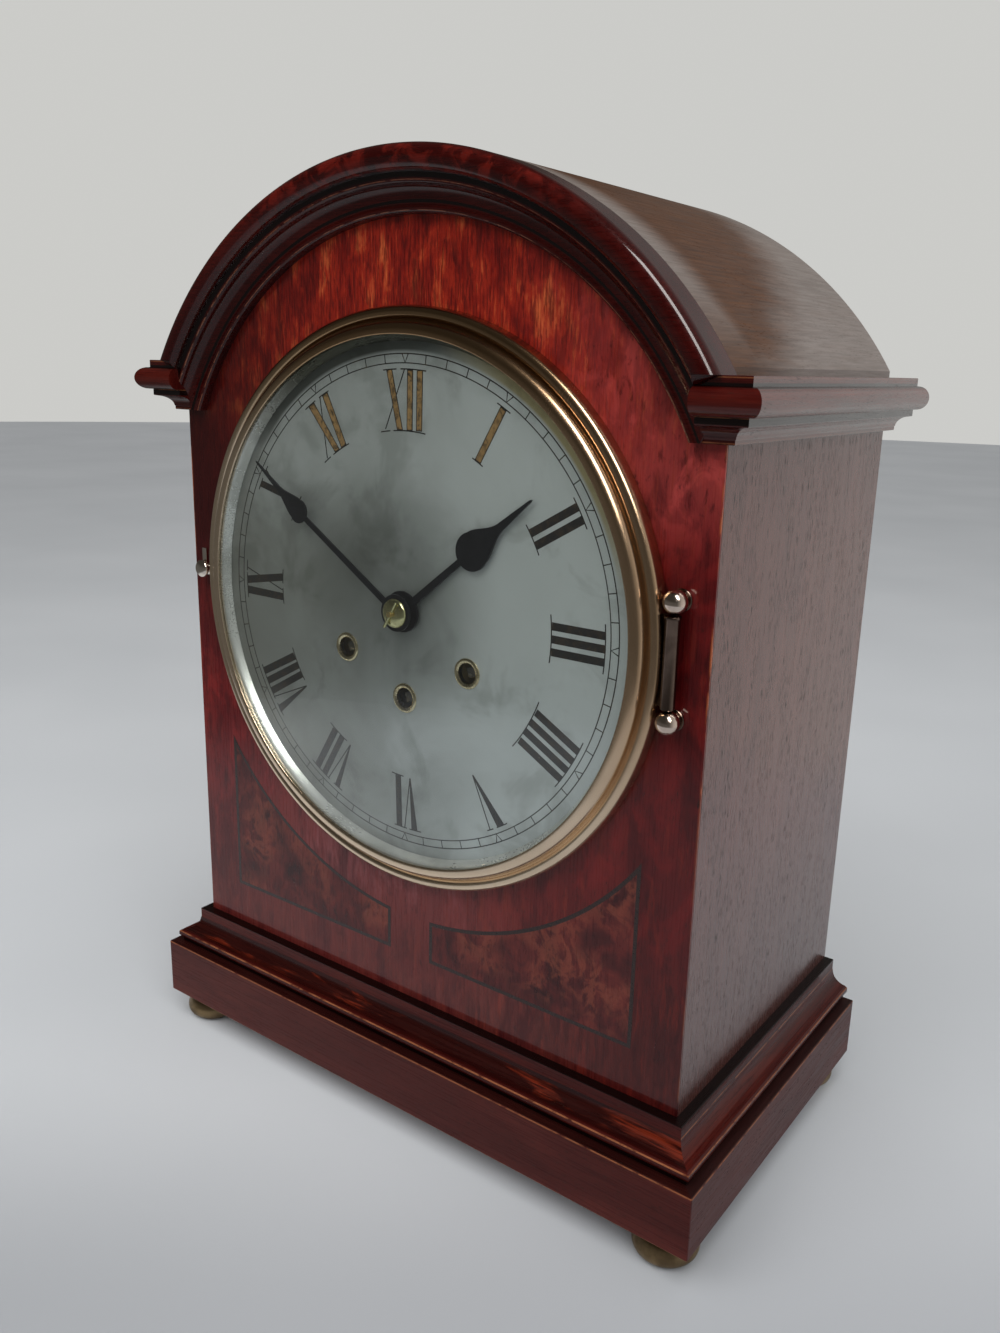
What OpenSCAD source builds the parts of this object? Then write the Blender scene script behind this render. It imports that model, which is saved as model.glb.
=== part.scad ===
// Chiming bracket clock: arch-topped mahogany case, round silvered dial, three-train movement.
// Millimetres. +X right, +Y back (the dial looks to -Y), +Z up. Origin on the floor, middle of the footprint.

/* [Case] */
// Width of the carcase
case_w = 280; // [276:1:284]
// Front face of the carcase (Y)
front_y = -71; // [-72:0.5:-70]
// Back face of the carcase (Y)
back_y = 88; // [87:0.5:89]
// Top of the plinth band (Z)
plinth_top = 42.7; // [42:0.1:44]
// Half-width of the plinth band
plinth_hw = 156.7; // [155:0.1:158]
// Top of the base moulding (Z)
base_top = 61.1; // [60:0.1:63]
// Underside of the cornice (Z)
cornice_z = 323.1; // [322:0.1:324]
// Thickness of the case boards
board_t = 10; // [9:0.5:11]
// Height of the brass feet
foot_h = 13.4; // [12:0.1:14]
// Radius of the brass feet
foot_r = 14; // [12:0.5:15]

/* [Arch] */
// Radius of the roof
roof_r = 164.9; // [164:0.1:166]
// Height of the roof's centre (Z)
roof_z = 261; // [260:0.1:262]
// Thickness of the roof board
roof_t = 8; // [7:0.5:9]

/* [Dial] */
// Height of the dial centre (Z)
dial_z = 245.9; // [245:0.1:247]
// Outer radius of the brass bezel
bezel_r = 123.1; // [122:0.1:124]
// Radius of the dial plate
dial_r = 112; // [110:0.5:112.5]
// Sideways distance of the outer winding holes from the dial centre
wind_x = 33.8; // [33.8:0.1:34]
// Length of the hour hand
hour_len = 83.5; // [80:0.5:90]
// Length of the minute hand
minute_len = 104; // [98:0.5:106]
// Hour hand's angle clockwise from twelve
hour_deg = 51; // [0:1:359]
// Minute hand's angle clockwise from twelve
minute_deg = 303; // [0:1:359]

/* [Movement] */
// Radius of the mainspring barrels
barrel_r = 17.3; // [16:0.1:17.4]
// Radial clearance of the running fits
fit = 0.05; // [0.02:0.01:0.08]

/* [Hidden] */

hw = case_w / 2;
in_hw = hw - board_t;
panel_in = front_y + 12;      // inner face of the front panel
spring_z = roof_z + sqrt(pow(roof_r - roof_t, 2) - hw * hw); // where the roof meets the sides
block_x = 132.5;              // inner end of the cornice's front return
frame_y = back_y - 14;        // inner face of the back frame
pf0 = -56; pf1 = -53;         // front plate
pb0 = -3; pb1 = 0;            // back plate

// Arbor positions, X and Z from the dial centre
G = [0, -38.4];               // going barrel
S = [-wind_x, -21.3];         // strike barrel
H = [wind_x, -21.3];          // chime barrel
inter_a = (38.4 * 38.4 + 21 * 21 - 21.6 * 21.6) / (2 * 38.4);
I = [sqrt(21 * 21 - inter_a * inter_a), -inter_a];  // intermediate wheel
T = [-20.8 * cos(75), 20.8 * sin(75)];              // third wheel
E = [0, T[1] + sqrt(20.16 * 20.16 - T[0] * T[0])];  // escape wheel
A = [0, E[1] + 17.5];                               // pallets and pendulum
M = [20 * cos(60), 20 * sin(60)];                   // minute wheel
D2 = H + 21.6 * [cos(-60), sin(-60)];               // chime drum
F2 = D2 + 17.5 * [cos(50), sin(50)];                // chime fly
D1 = [-D2[0], D2[1]];                               // strike wheel
F1 = [-F2[0], F2[1]];                               // strike fly
HP = [62, 150];               // chime hammer arbor, X and absolute Z
rod_z = 100;                  // gong rods
stations = [8, 16, 24, 32];   // Y of the chime rods
hour_st = 44;                 // Y of the hour rod
pend_y = 11;                  // plane of the pendulum
pin_y = -83.7;                // taper pin through the centre arbor

// ---------- helpers ----------
// 2D shape in the XZ plane, extruded from y0 to y1
module ext(y0, y1) { translate([0, y1, 0]) rotate([90, 0, 0]) linear_extrude(y1 - y0) children(); }
// the same, in coordinates from the dial centre
module dext(y0, y1) { translate([0, 0, dial_z]) ext(y0, y1) children(); }
// round bar along Y at dial coordinates p
module bar(p, r, y0, y1) { dext(y0, y1) translate(p) circle(r = r, $fn = 48); }
// turned part on the dial axis; points are radius and height above the panel face
module turned(pts, z = 0, fn = 180) { translate([0, front_y, z]) rotate([90, 0, 0]) rotate_extrude($fn = fn) polygon(pts); }
function arc(cx, cy, rx, ry, a0, a1, n) = [for (i = [0:n]) let (a = a0 + (a1 - a0) * i / n) [cx + rx * cos(a), cy + ry * sin(a)]];
function pol(r, a) = [r * cos(a), r * sin(a)];
function mir(pts) = [for (i = [len(pts) - 1:-1:0]) [-pts[i][0], pts[i][1]]];
// one tooth of a wheel or pinion: radius and half angle of four points, mirrored
function tooth(c, rows) = concat([for (q = rows) pol(q[0], c - q[1])], [for (i = [len(rows) - 1:-1:0]) pol(rows[i][0], c + rows[i][1])]);
function wheel_rows(n, m) = let (s = 360 / n, r = n * m / 2) [[r - 1.3 * m, 0.23 * s], [r, 0.2 * s], [r + 0.55 * m, 0.144 * s], [r + m, 0.06 * s]];
function leaf_rows(n, m) = let (s = 360 / n, r = n * m / 2) [[r - 1.55 * m, 0.15 * s], [r, 0.18 * s], [r + 0.3 * m, 0.152 * s], [r + 0.6 * m, 0.08 * s]];
function teeth(n, rows, ph) = [for (i = [0:n - 1]) each tooth(ph + i * 360 / n, rows)];
function dir(a, b) = atan2(b[1] - a[1], b[0] - a[0]);
function dist(a, b) = norm(b - a);
// crossed-out wheel with n teeth of module m, one tooth at angle ph
module wheel2d(n, m, ph, hub = 4, arms = 5, bore = 0) {
    ri = n * m / 2 - 1.3 * m - 1.7;
    difference() {
        polygon(teeth(n, wheel_rows(n, m), ph));
        difference() {
            circle(r = ri, $fn = 96);
            circle(r = hub, $fn = 48);
            for (i = [0:arms - 1]) rotate(i * 360 / arms + 12) translate([0, -0.8]) square([ri + 1, 1.6]);
        }
        if (bore > 0) circle(r = bore, $fn = 48);
    }
}
module pinion2d(n, m, ph, bore = 0) {
    difference() { polygon(teeth(n, leaf_rows(n, m), ph)); if (bore > 0) circle(r = bore, $fn = 48); }
}

// ---------- profiles ----------
// [projection from the case face, Z]
base_prof = concat([[0, plinth_top], [11.4, plinth_top], [11.4, 45.3], [12.8, 45.7], [13, 47.9], [12.3, 48.5]],
    arc(12.3, 55.8, 7.5, 6.9, 266, 184, 8), [[4.5, 56.2], [4.5, base_top], [0, base_top]]);
cornice_prof = concat([[0, cornice_z], [4.6, cornice_z], [4.6, 324.6]], arc(10.9, 324.6, 6, 4.6, 174, 96, 7),
    [[11.9, 329.5], [11.9, 332.3]], arc(13.3, 337.2, 4.9, 4.9, -90, 90, 14), [[12.6, 342.1], [12.6, 345.5], [0, 345.5]]);
// [radius from the roof's centre, projection from the panel face]
arch_prof = concat([[roof_r, 0], [roof_r, 11.4]], arc(roof_r - 4.9, 11.6, 4.9, 4.9, 0, 180, 16),
    [[roof_r - 9.9, 11.2], [roof_r - 12.4, 11.0], [roof_r - 12.8, 10.2]],
    arc(roof_r - 19.2, 10.2, 5.8, 5.2, -6, -84, 7),
    [[roof_r - 19.4, 4.6], [roof_r - 20.2, 4.4]], arc(roof_r - 21.6, 2.8, 1.9, 1.9, 60, 170, 5), [[roof_r - 23.5, 0]]);

// mitred moulding that runs round the front and both sides of the carcase
module wrap(prof, sf) {
    intersection() {
        translate([0, back_y, 0]) rotate([90, 0, 0]) linear_extrude(back_y - front_y + 30)
            polygon(concat([for (q = prof) [hw + q[0], q[1]]], mir([for (q = prof) [hw + q[0], q[1]]])));
        rotate([90, 0, 90]) translate([0, 0, -200]) linear_extrude(400)
            polygon(concat([[back_y + 1, prof[0][1]]], [for (q = prof) [front_y - q[0] * sf, q[1]]], [[back_y + 1, prof[len(prof) - 1][1]]]));
    }
}
module core(z0, z1) { translate([-hw, front_y, z0]) cube([2 * hw, 300, z1 - z0]); }

// ---------- case ----------
module foot_at() { for (sx = [-1, 1], y = [-73, 73]) translate([sx * 140, y, 0]) children(); }
module plinth() {
    color([0.33, 0.13, 0.10]) difference() {
        translate([-plinth_hw, -88, foot_h]) cube([2 * plinth_hw, 176, plinth_top - foot_h]);
        translate([-126, -60, foot_h - 1]) cube([252, 120, plinth_top]);
        foot_at() translate([0, 0, foot_h - 1]) cylinder(r = 2.5, h = 10, $fn = 32);
    }
}
module feet() {
    color([0.55, 0.42, 0.20]) foot_at() {
        rotate_extrude($fn = 64) polygon(concat([[0, 0], [8.5, 0]], arc(foot_r - 5.5, 5.5, 5.5, 5.5, -80, 30, 8),
            [[foot_r - 1.2, 9.6], [foot_r - 2.4, 11.2], [foot_r - 2.4, foot_h], [0, foot_h]]));
        translate([0, 0, foot_h - 0.5]) cylinder(r = 2.5, h = 8.5, $fn = 32);
    }
}
module base_moulding() { color([0.25, 0.08, 0.06]) difference() { wrap(base_prof, 1.02); core(30, 100); } }
module bottom_board() { color([0.45, 0.27, 0.16]) translate([-in_hw, panel_in, plinth_top]) cube([2 * in_hw, frame_y - panel_in, 10]); }
module case_sides() {
    color([0.36, 0.14, 0.10]) for (s = [-1, 1]) translate([s > 0 ? in_hw : -hw, panel_in, plinth_top])
        cube([board_t, back_y - panel_in, spring_z - plinth_top]);
}
// inside outline of the case at its arched top
module inside2d(r) { intersection() { translate([0, roof_z]) circle(r = r, $fn = 180); translate([-in_hw, 40]) square([2 * in_hw, 500]); } }
module panel2d() {
    union() { translate([-hw, plinth_top]) square([2 * hw, spring_z - plinth_top]);
        intersection() { inside2d(roof_r - roof_t); translate([-in_hw, spring_z - 1]) square([2 * in_hw, 200]); } }
}
// panel under the dial: outer upright, foot, short inner upright and an arc round the dial
module burr2d() {
    difference() {
        translate([11.7, 82.6]) square([105.8, 85]);
        translate([0, dial_z]) circle(r = 143.2, $fn = 180);
    }
}
module both() { children(); mirror([1, 0]) children(); }
module front_panel() {
    color([0.50, 0.13, 0.08]) difference() {
        ext(front_y, panel_in) difference() {
            panel2d();
            translate([0, dial_z]) circle(r = 100, $fn = 180);
            translate([-130, 247.9]) circle(r = 1.8, $fn = 32);
        }
        ext(front_y - 1, front_y + 0.8) both() burr2d();
    }
}
module burr_panels() { color([0.55, 0.18, 0.09]) ext(front_y, front_y + 0.8) both() burr2d(); }
module roof() {
    color([0.34, 0.15, 0.10]) ext(front_y, back_y) difference() {
        intersection() { translate([0, roof_z]) circle(r = roof_r, $fn = 180); translate([-hw, spring_z]) square([2 * hw, 200]); }
        inside2d(roof_r - roof_t);
    }
}
module arch_moulding() {
    color([0.22, 0.06, 0.05]) difference() {
        turned(arch_prof, roof_z);
        translate([-200, -100, 0]) cube([400, 40, cornice_z]);
        for (s = [-1, 1]) translate([s > 0 ? block_x : -200, -100, 0]) cube([200 - block_x, 40, 345.5]);
    }
}
module cornices() {
    color([0.27, 0.08, 0.06]) difference() {
        wrap(cornice_prof, 0.91);
        core(300, 400);
        translate([-block_x, -150, 300]) cube([2 * block_x, 100, 100]);
    }
}
module back_frame() {
    color([0.38, 0.20, 0.12]) difference() {
        ext(frame_y, back_y - 2) difference() {
            union() { translate([-in_hw, plinth_top]) square([2 * in_hw, spring_z - plinth_top]);
                intersection() { inside2d(roof_r - roof_t); translate([-in_hw, spring_z - 1]) square([2 * in_hw, 200]); } }
            door2d(-1);
        }
        for (z = hinge_zs) translate([104, back_y - 2, z - 12.5]) cylinder(r = 2.4, h = 25, $fn = 32);
    }
}
module seat_board() { color([0.42, 0.24, 0.14]) translate([-in_hw, panel_in, dial_z - 72]) cube([2 * in_hw, -1 - panel_in, 10]); }

// ---------- back door ----------
hinge_zs = [112, 288];
module door2d(k) {
    translate([-103 + k, 71 + k]) square([206 - 2 * k, roof_z - 71 - k]);
    intersection() {
        translate([-103 + k, roof_z - 1]) square([206 - 2 * k, 200]);
        translate([0, roof_z]) circle(r = 135 - k, $fn = 180);
    }
}
module back_door() {
    color([0.38, 0.17, 0.11]) difference() {
        ext(frame_y, frame_y + 10) difference() { door2d(0); door2d(20); translate([-94, 200]) circle(r = 1.6, $fn = 32); }
        ext(frame_y + 4, frame_y + 6.2) door2d(15.8);
    }
}
module door_glass() { color([0.8, 0.85, 0.85, 0.4]) ext(frame_y + 4.1, frame_y + 6.1) door2d(16); }
// fixed leaves, their knuckles and the pins
module door_hinges() {
    color([0.62, 0.50, 0.26]) for (z = hinge_zs) {
        difference() {
            union() {
                for (a = [-12, 4.2]) translate([104, 86, z + a]) cylinder(r = 2, h = 7.8, $fn = 32);
                for (a = [-12, 4.2]) translate([104, 86, z + a]) cube([12, 1.2, 7.8]);
                translate([107, 86, z - 12]) cube([9, 1.2, 24]);
            }
            for (a = [-7, 7]) translate([112, 88, z + a]) rotate([90, 0, 0]) cylinder(r = 1, h = 3, $fn = 24);
        }
        translate([104, 86, z - 12]) cylinder(r = 0.95, h = 24, $fn = 32);
    }
}
module door_leaves() {
    color([0.62, 0.50, 0.26]) for (z = hinge_zs) difference() {
        union() {
            translate([104, 86, z - 3.9]) cylinder(r = 2, h = 7.8, $fn = 32);
            translate([92, 84, z - 3.9]) cube([11.2, 1.2, 7.8]);
            translate([102.4, 84.2, z - 3.9]) cube([1.4, 1.4, 7.8]);
            translate([92, 84, z - 12]) cube([9, 1.2, 24]);
        }
        translate([104, 86, z - 5]) cylinder(r = 1, h = 10, $fn = 32);
    }
}
module door_latch() {
    color([0.62, 0.50, 0.26]) {
        translate([-94, 88, 200]) rotate([90, 0, 0]) rotate_extrude($fn = 32) polygon([[0, 0], [4, 0], [5, 1], [4.4, 2.2], [2.2, 3], [2.2, 3.8], [0, 3.8]]);
        translate([-94, 84.3, 200]) rotate([90, 0, 0]) cylinder(r = 1.55, h = 12.3, $fn = 32);
        translate([-97, 71.6, 197]) cube([6, 1.8, 22]);
    }
}

// ---------- bezel, glass and dial ----------
module bezel() {
    color([0.78, 0.62, 0.36]) {
        difference() {
            turned(concat([[113.5, 0.2], [bezel_r, 0.2], [bezel_r, 3.9], [122.9, 4.7]], arc(120.3, 4.5, 2.7, 2.8, 15, 150, 8),
                [[117.5, 5.7], [117.35, 6.9], [116.9, 8.2], [116.2, 9.2], [115.2, 9.95], [114, 10.3], [112.9, 10.3], [112.1, 10.15],
                [111.8, 9.9], [111.8, 9.56], [113.5, 9.34]]), dial_z);
            // slot that takes the catch's tongue
            ext(-74.2, -72.5) translate(catch_at) circle(r = 10.6, $fn = 48);
        }
        difference() {
            union() {
                translate([127, -75, dial_z - 17.6]) cylinder(r = 2.1, h = 35.2, $fn = 40);
                translate([127, -75, dial_z + 16.7]) cylinder(r = 2.7, h = 0.9, $fn = 40);
                translate([121.3, -74.9, dial_z - 17.6]) cube([5, 1.9, 35.2]);
            }
            translate([127, -75, dial_z - 18]) cylinder(r = 0.9 + fit, h = 36, $fn = 32);
        }
    }
}
module bezel_hinge() {
    color([0.75, 0.68, 0.58]) {
        for (a = [-22.3, 22.3]) translate([127, -71, dial_z + a]) {
            translate([0, -4, 0]) sphere(r = 3.7, $fn = 56);
            rotate([90, 0, 0]) cylinder(r = 2, h = 4, $fn = 40);
            rotate([90, 0, 0]) cylinder(r = 3.5, h = 0.7, $fn = 48);
        }
        translate([127, -75, dial_z - 20]) cylinder(r = 0.9, h = 40, $fn = 32);
    }
}
catch_at = [-130, 247.9];
module bezel_catch() {
    color([0.78, 0.74, 0.68]) {
        translate([-130, -71, 247.9]) rotate([90, 0, 0]) rotate_extrude($fn = 48)
            polygon([[0, 0.1], [3.3, 0.1], [3.3, 1.6], [2.2, 1.8], [2.2, 3.2], [3.8, 3.9], [4.2, 4.9], [3.5, 6.1], [0, 6.8]]);
        translate([-130, -63, 247.9]) rotate([90, 0, 0]) cylinder(r = 1.75, h = 8.5, $fn = 32);
        translate([-131.5, -74, 247.9]) cube([3, 1.3, 10]);
    }
}
glass_c = 861;
function glass_z(R, r) = 16.8 - glass_c + sqrt(R * R - r * r);
module dial_glass() {
    color([0.9, 0.95, 0.95, 0.25]) turned(concat([for (i = [0:14]) [113.2 * i / 14, glass_z(glass_c, 113.2 * i / 14)]],
        [for (i = [14:-1:0]) [113.2 * i / 14, glass_z(glass_c - 2, 113.2 * i / 14)]]), dial_z);
}
module sight_ring() {
    color([0.72, 0.72, 0.70]) turned([[109.6, 3.55], [113.2, 3.55], [113.2, 7.29], [111.9, 7.45], [109.5, 3.9]], dial_z);
}
dial_y = front_y - 3.4;
module dial_plate() {
    color([0.66, 0.67, 0.66]) {
        dext(dial_y, dial_y + 1.6) difference() {
            circle(r = dial_r, $fn = 180);
            circle(r = 4, $fn = 48);
            for (p = [G, S, H]) translate(p) circle(r = 5.5, $fn = 48);
        }
        dext(dial_y + 1.5, front_y) difference() { circle(r = dial_r, $fn = 180); circle(r = dial_r - 1.6, $fn = 180); }
    }
}
module winding_grommets() {
    color([0.78, 0.66, 0.40]) for (p = [G, S, H]) translate([p[0], dial_y, dial_z + p[1]]) rotate([90, 0, 0]) rotate_extrude($fn = 48)
        polygon([[4.5, -2.2], [5.5, -2.2], [5.5, 0], [6.5, 0], [6.5, 0.3], [6.1, 0.7], [5.1, 0.7], [4.5, 0.3]]);
}
module dial_feet() {
    color([0.70, 0.58, 0.34]) for (p = [[-50, 42], [50, 42], [-50, -54], [50, -54]]) {
        bar(p, 3, dial_y + 1.6, -56);
        bar(p, 1.6, -56.1, -51.5);
    }
}

// ---------- hands ----------
// half outline of a pear-shaped hand along +Y: shaft width, pear centre a, pear radius b, end of the taper, tip width, length
function hand_side(shaft, a, b, taper, tipw, len) = concat([[shaft * 0.6, 0], [shaft / 2, a - sqrt(b * b - shaft * shaft / 4)]],
    [for (i = [1:9]) let (g = -75 + i * 11) [b * cos(g), a + b * sin(g)]],
    [for (i = [1:10]) let (t = i / 10) [tipw + (b * cos(24) - tipw) * (0.5 + 0.5 * cos(180 * pow(t, 0.85))), a + b * sin(24) + (taper - a - b * sin(24)) * t]],
    [[tipw * 0.3, len - 1], [0, len]]);
module hand2d(shaft, a, b, taper, tipw, len, boss) {
    h = hand_side(shaft, a, b, taper, tipw, len);
    circle(r = boss, $fn = 48);
    polygon(concat(h, mir([for (i = [0:len(h) - 2]) h[i]])));
}
module hour_hand() {
    color([0.05, 0.05, 0.06]) dext(-76.7, -75.7) difference() {
        rotate(-hour_deg) hand2d(2.8, 47, 7.9, 66, 1.6, hour_len, 8.8);
        circle(r = 3.2, $fn = 48);
    }
}
// the outer half of the minute hand is bent back to follow the domed glass
module minute_hand() {
    color([0.05, 0.05, 0.06]) intersection() {
        dext(-82, -74.5) difference() {
            rotate(-minute_deg) hand2d(2.3, 68, 5.2, 86, 1.1, minute_len, 7.9);
            circle(r = 2.2, $fn = 48);
        }
        turned([[0, 8.7], [55, 8.7], [110, 4.1], [110, 5.1], [55, 9.7], [0, 9.7]], dial_z, 180);
    }
}
// domed brass collet and its steel taper pin
module hand_collet() {
    color([0.80, 0.70, 0.42]) {
        translate([0, -80.8, dial_z]) rotate([90, 0, 0]) rotate_extrude($fn = 48)
            polygon(concat([[1.25, 0], [6, 0], [6.3, 0.4]], arc(0, 0.4, 6.2, 2.1, 8, 78, 7), [[1.25, 2.5]]));
        translate([0, pin_y, dial_z]) rotate([0, 30, 0]) translate([0, 0, -6.8]) cylinder(r1 = 0.75, r2 = 0.5, h = 13, $fn = 24);
    }
}

// ---------- motion work ----------
module cannon_pinion() {
    color([0.72, 0.70, 0.66]) {
        dext(-62, -58) difference() { pinion2d(20, 0.5, dir([0, 0], M) + 9); circle(r = 1.2 + fit, $fn = 48); }
        dext(-80.7, -61.9) difference() { circle(r = 2.2, $fn = 48); circle(r = 1.2 + fit, $fn = 48); }
    }
}
module minute_wheel() {
    color([0.78, 0.62, 0.33]) translate([M[0], 0, M[1]]) {
        dext(-61, -59.4) wheel2d(60, 0.5, dir(M, [0, 0]), 4, 5, 1 + fit);
        dext(-65.5, -60.9) pinion2d(12, 2 / 3, dir(M, [0, 0]) + 15, 1 + fit);
    }
}
module hour_wheel() {
    color([0.78, 0.62, 0.33]) {
        dext(-65, -63.4) wheel2d(48, 2 / 3, dir([0, 0], M), 4.6, 5, 2.2 + fit);
        dext(-76.7, -64.9) difference() { circle(r = 3.2, $fn = 48); circle(r = 2.2 + fit, $fn = 48); }
    }
}

// ---------- movement frame ----------
pillar_at = [[-57, -56], [57, -56], [-57, 60], [57, 60], [30, 60]];
module plate2d() { translate([-63, -62]) square([126, 130]); }
module front_plate() {
    color([0.80, 0.66, 0.36]) dext(pf0, pf1) difference() {
        plate2d();
        for (p = [G, S, H]) translate(p) circle(r = 3 + fit, $fn = 48);
        circle(r = 1.4 + fit, $fn = 48);
        for (p = [I, T, E, A, D1, D2, F1, F2]) translate(p) circle(r = 0.9 + fit, $fn = 32);
        for (p = [[-50, 42], [50, 42], [-50, -54], [50, -54]]) translate(p) circle(r = 1.6, $fn = 32);
    }
    // stud of the minute wheel
    color([0.7, 0.7, 0.72]) bar(M, 1, -67, pf0 + 0.1);
}
module back_plate() {
    color([0.80, 0.66, 0.36]) dext(pb0, pb1) difference() {
        plate2d();
        for (p = [G, S, H]) translate(p) circle(r = 1.6 + fit, $fn = 48);
        for (p = [[0, 0], I, T, E, F1, F2]) translate(p) circle(r = 0.9 + fit, $fn = 32);
        for (p = [A, D1, D2]) translate(p) circle(r = 1.5 + fit, $fn = 32);
    }
}
module pillars() {
    color([0.76, 0.62, 0.34]) for (p = pillar_at) translate([p[0], pb0, dial_z + p[1]]) rotate([90, 0, 0]) rotate_extrude($fn = 32)
        polygon([[0, 0], [4, 0], [4, 2], [2.6, 3], [2.4, 20], [3.2, 22], [3.2, 28], [2.4, 30], [2.6, 47], [4, 48], [4, 50], [0, 50]]);
}

// ---------- barrels ----------
// barrel with its great wheel of 62 teeth at wy, and its mainspring; open bore for the arbor
module barrel(p, y0, y1, wy, ph) {
    translate([p[0], 0, p[1]]) {
        dext(wy, wy + 2) difference() { polygon(teeth(62, wheel_rows(62, 0.6), ph)); circle(r = 3 + fit, $fn = 48); }
        dext(y0, y1) difference() { circle(r = barrel_r, $fn = 96); circle(r = barrel_r - 1.2, $fn = 96); }
        dext(y0, y0 + 1.2) difference() { circle(r = barrel_r, $fn = 96); circle(r = 3 + fit, $fn = 48); }
        dext(y1 - 1.2, y1) difference() { circle(r = barrel_r, $fn = 96); circle(r = 3 + fit, $fn = 48); }
        dext(y0 + 3, y1 - 3) difference() { circle(r = barrel_r - 1.2, $fn = 96); circle(r = 9, $fn = 96); }
    }
}
module going_barrel() { color([0.78, 0.64, 0.34]) barrel(G, -51, -24, -24.1, dir(G, I)); }
module strike_barrel() { color([0.78, 0.64, 0.34]) barrel(S, -50.4, -25, -52.3, dir(S, D1)); }
module chime_barrel() { color([0.78, 0.64, 0.34]) barrel(H, -50.4, -25, -52.3, dir(H, D2)); }
// winding arbor with its square
module winding_arbor(p) {
    bar(p, 3, -60, -21.5);
    bar(p, 1.6, -21.6, 1.5);
    dext(-71.6, -59.9) translate(p) rotate(20) translate([-2.1, -2.1]) square(4.2);
}
module going_arbor() { color([0.45, 0.45, 0.47]) winding_arbor(G); }
module strike_arbor() { color([0.45, 0.45, 0.47]) winding_arbor(S); }
module chime_arbor() { color([0.45, 0.45, 0.47]) winding_arbor(H); }

// ---------- going train ----------
module pivoted(p, r, y0, y1, rp0 = 0.9, rp1 = 0.9) {
    bar(p, r, y0, y1);
    bar(p, rp0, pf0 + 0.3, y0 + 0.1);
    bar(p, rp1, y1 - 0.1, pb1 - 0.3);
}
module intermediate_wheel() {
    color([0.78, 0.64, 0.34]) {
        pivoted(I, 1, -52.4, -3.6);
        translate([I[0], 0, I[1]]) {
            dext(-25, -21) pinion2d(10, 0.6, dir(I, G) + 18);
            dext(-19.8, -18.3) wheel2d(60, 0.6, dir(I, [0, 0]), 4);
        }
    }
}
module centre_wheel() {
    color([0.78, 0.64, 0.34]) {
        bar([0, 0], 1.4, -57.8, -3.6);
        bar([0, 0], 0.9, -3.7, pb1 - 0.3);
        difference() {
            bar([0, 0], 1.2, -84.9, -57.7);
            translate([0, pin_y, dial_z]) rotate([0, 30, 0]) translate([0, 0, -6.8]) cylinder(r1 = 0.77, r2 = 0.52, h = 13, $fn = 24);
        }
        dext(-20.6, -17.6) pinion2d(10, 0.6, dir([0, 0], I) + 18);
        dext(-14, -12.8) wheel2d(96, 0.4, dir([0, 0], T), 4);
    }
}
module third_wheel() {
    color([0.78, 0.64, 0.34]) {
        pivoted(T, 0.9, -52.4, -3.6);
        translate([T[0], 0, T[1]]) {
            dext(-14.8, -12) pinion2d(8, 0.4, dir(T, [0, 0]) + 22.5);
            dext(-9.6, -8.6) wheel2d(104, 0.36, dir(T, E), 3.4);
        }
    }
}
module escape_wheel() {
    color([0.80, 0.68, 0.38]) {
        pivoted(E, 0.9, -52.4, -3.6);
        translate([E[0], 0, E[1]]) {
            dext(-10.4, -7.8) pinion2d(8, 0.36, dir(E, T) + 22.5);
            dext(-6.6, -5.8) difference() {
                polygon([for (i = [0:29]) each [pol(11.6, i * 12 - 3), pol(13.9, i * 12 - 1.2), pol(14, i * 12), pol(11.6, i * 12 + 4)]]);
                difference() { circle(r = 9.8, $fn = 60); circle(r = 2.6, $fn = 32);
                    for (i = [0:3]) rotate(i * 90) translate([0, -0.6]) square([11, 1.2]); }
            }
        }
    }
}
// recoil pallets, their arbor and the crutch with its fork
module pallets() {
    color([0.55, 0.55, 0.57]) {
        bar(A, 1.2, -52.4, -3.6);
        bar(A, 0.9, pf0 + 0.3, -52.3);
        bar(A, 1.5, -3.7, 5.6);
        dext(-7.2, -5.2) translate(A) {
            circle(r = 3.4, $fn = 32);
            for (s = [-1, 1]) polygon([[s * 1.5, 2.6], [s * 9, -0.6], [s * 12.6, -4.9], [s * 11.1, -7.0], [s * 10.2, -6.4], [s * 9.6, -4.2], [s * 7.6, -2.2], [s * 0.5, -1]]);
        }
        dext(3.4, 5.4) translate(A) { circle(r = 3, $fn = 32); translate([-0.8, -34]) square([1.6, 33]); translate([-3.2, -36]) square([6.4, 3]); }
        for (s = [-1, 1]) translate([s > 0 ? 1.6 : -3, 3.5, dial_z + A[1] - 36]) cube([1.4, 10, 3]);
    }
}
module suspension() {
    color([0.74, 0.60, 0.32]) {
        translate([-8, pb1, dial_z + A[1] + 5]) cube([16, 15, 7]);
        // spring strip
        translate([-0.15, 8.5, dial_z + A[1] - 3]) cube([0.3, 5, 9]);
    }
}
bob_z = dial_z + A[1] - 147;
module pendulum() {
    color([0.78, 0.66, 0.38]) {
        difference() {
            translate([-3, 7.5, dial_z + A[1] - 6]) cube([6, 7, 5]);
            translate([-0.5, 7, dial_z + A[1] - 4]) cube([1, 8, 5]);
        }
        translate([0, pend_y, bob_z - 24]) cylinder(r = 1.2, h = dial_z + A[1] - 5.5 - bob_z + 24, $fn = 32);
        difference() {
            translate([0, pend_y, bob_z]) rotate([90, 0, 0]) rotate_extrude($fn = 96)
                polygon(concat([[0, -4.5]], arc(0, 0, 17.5, 4.5, -82, -14, 8), [[17.6, -0.6], [17.6, 0.6]], arc(0, 0, 17.5, 4.5, 14, 82, 8), [[0, 4.5]]));
            translate([0, pend_y, bob_z - 30]) cylinder(r = 1.2, h = 60, $fn = 32);
        }
    }
}
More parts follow.
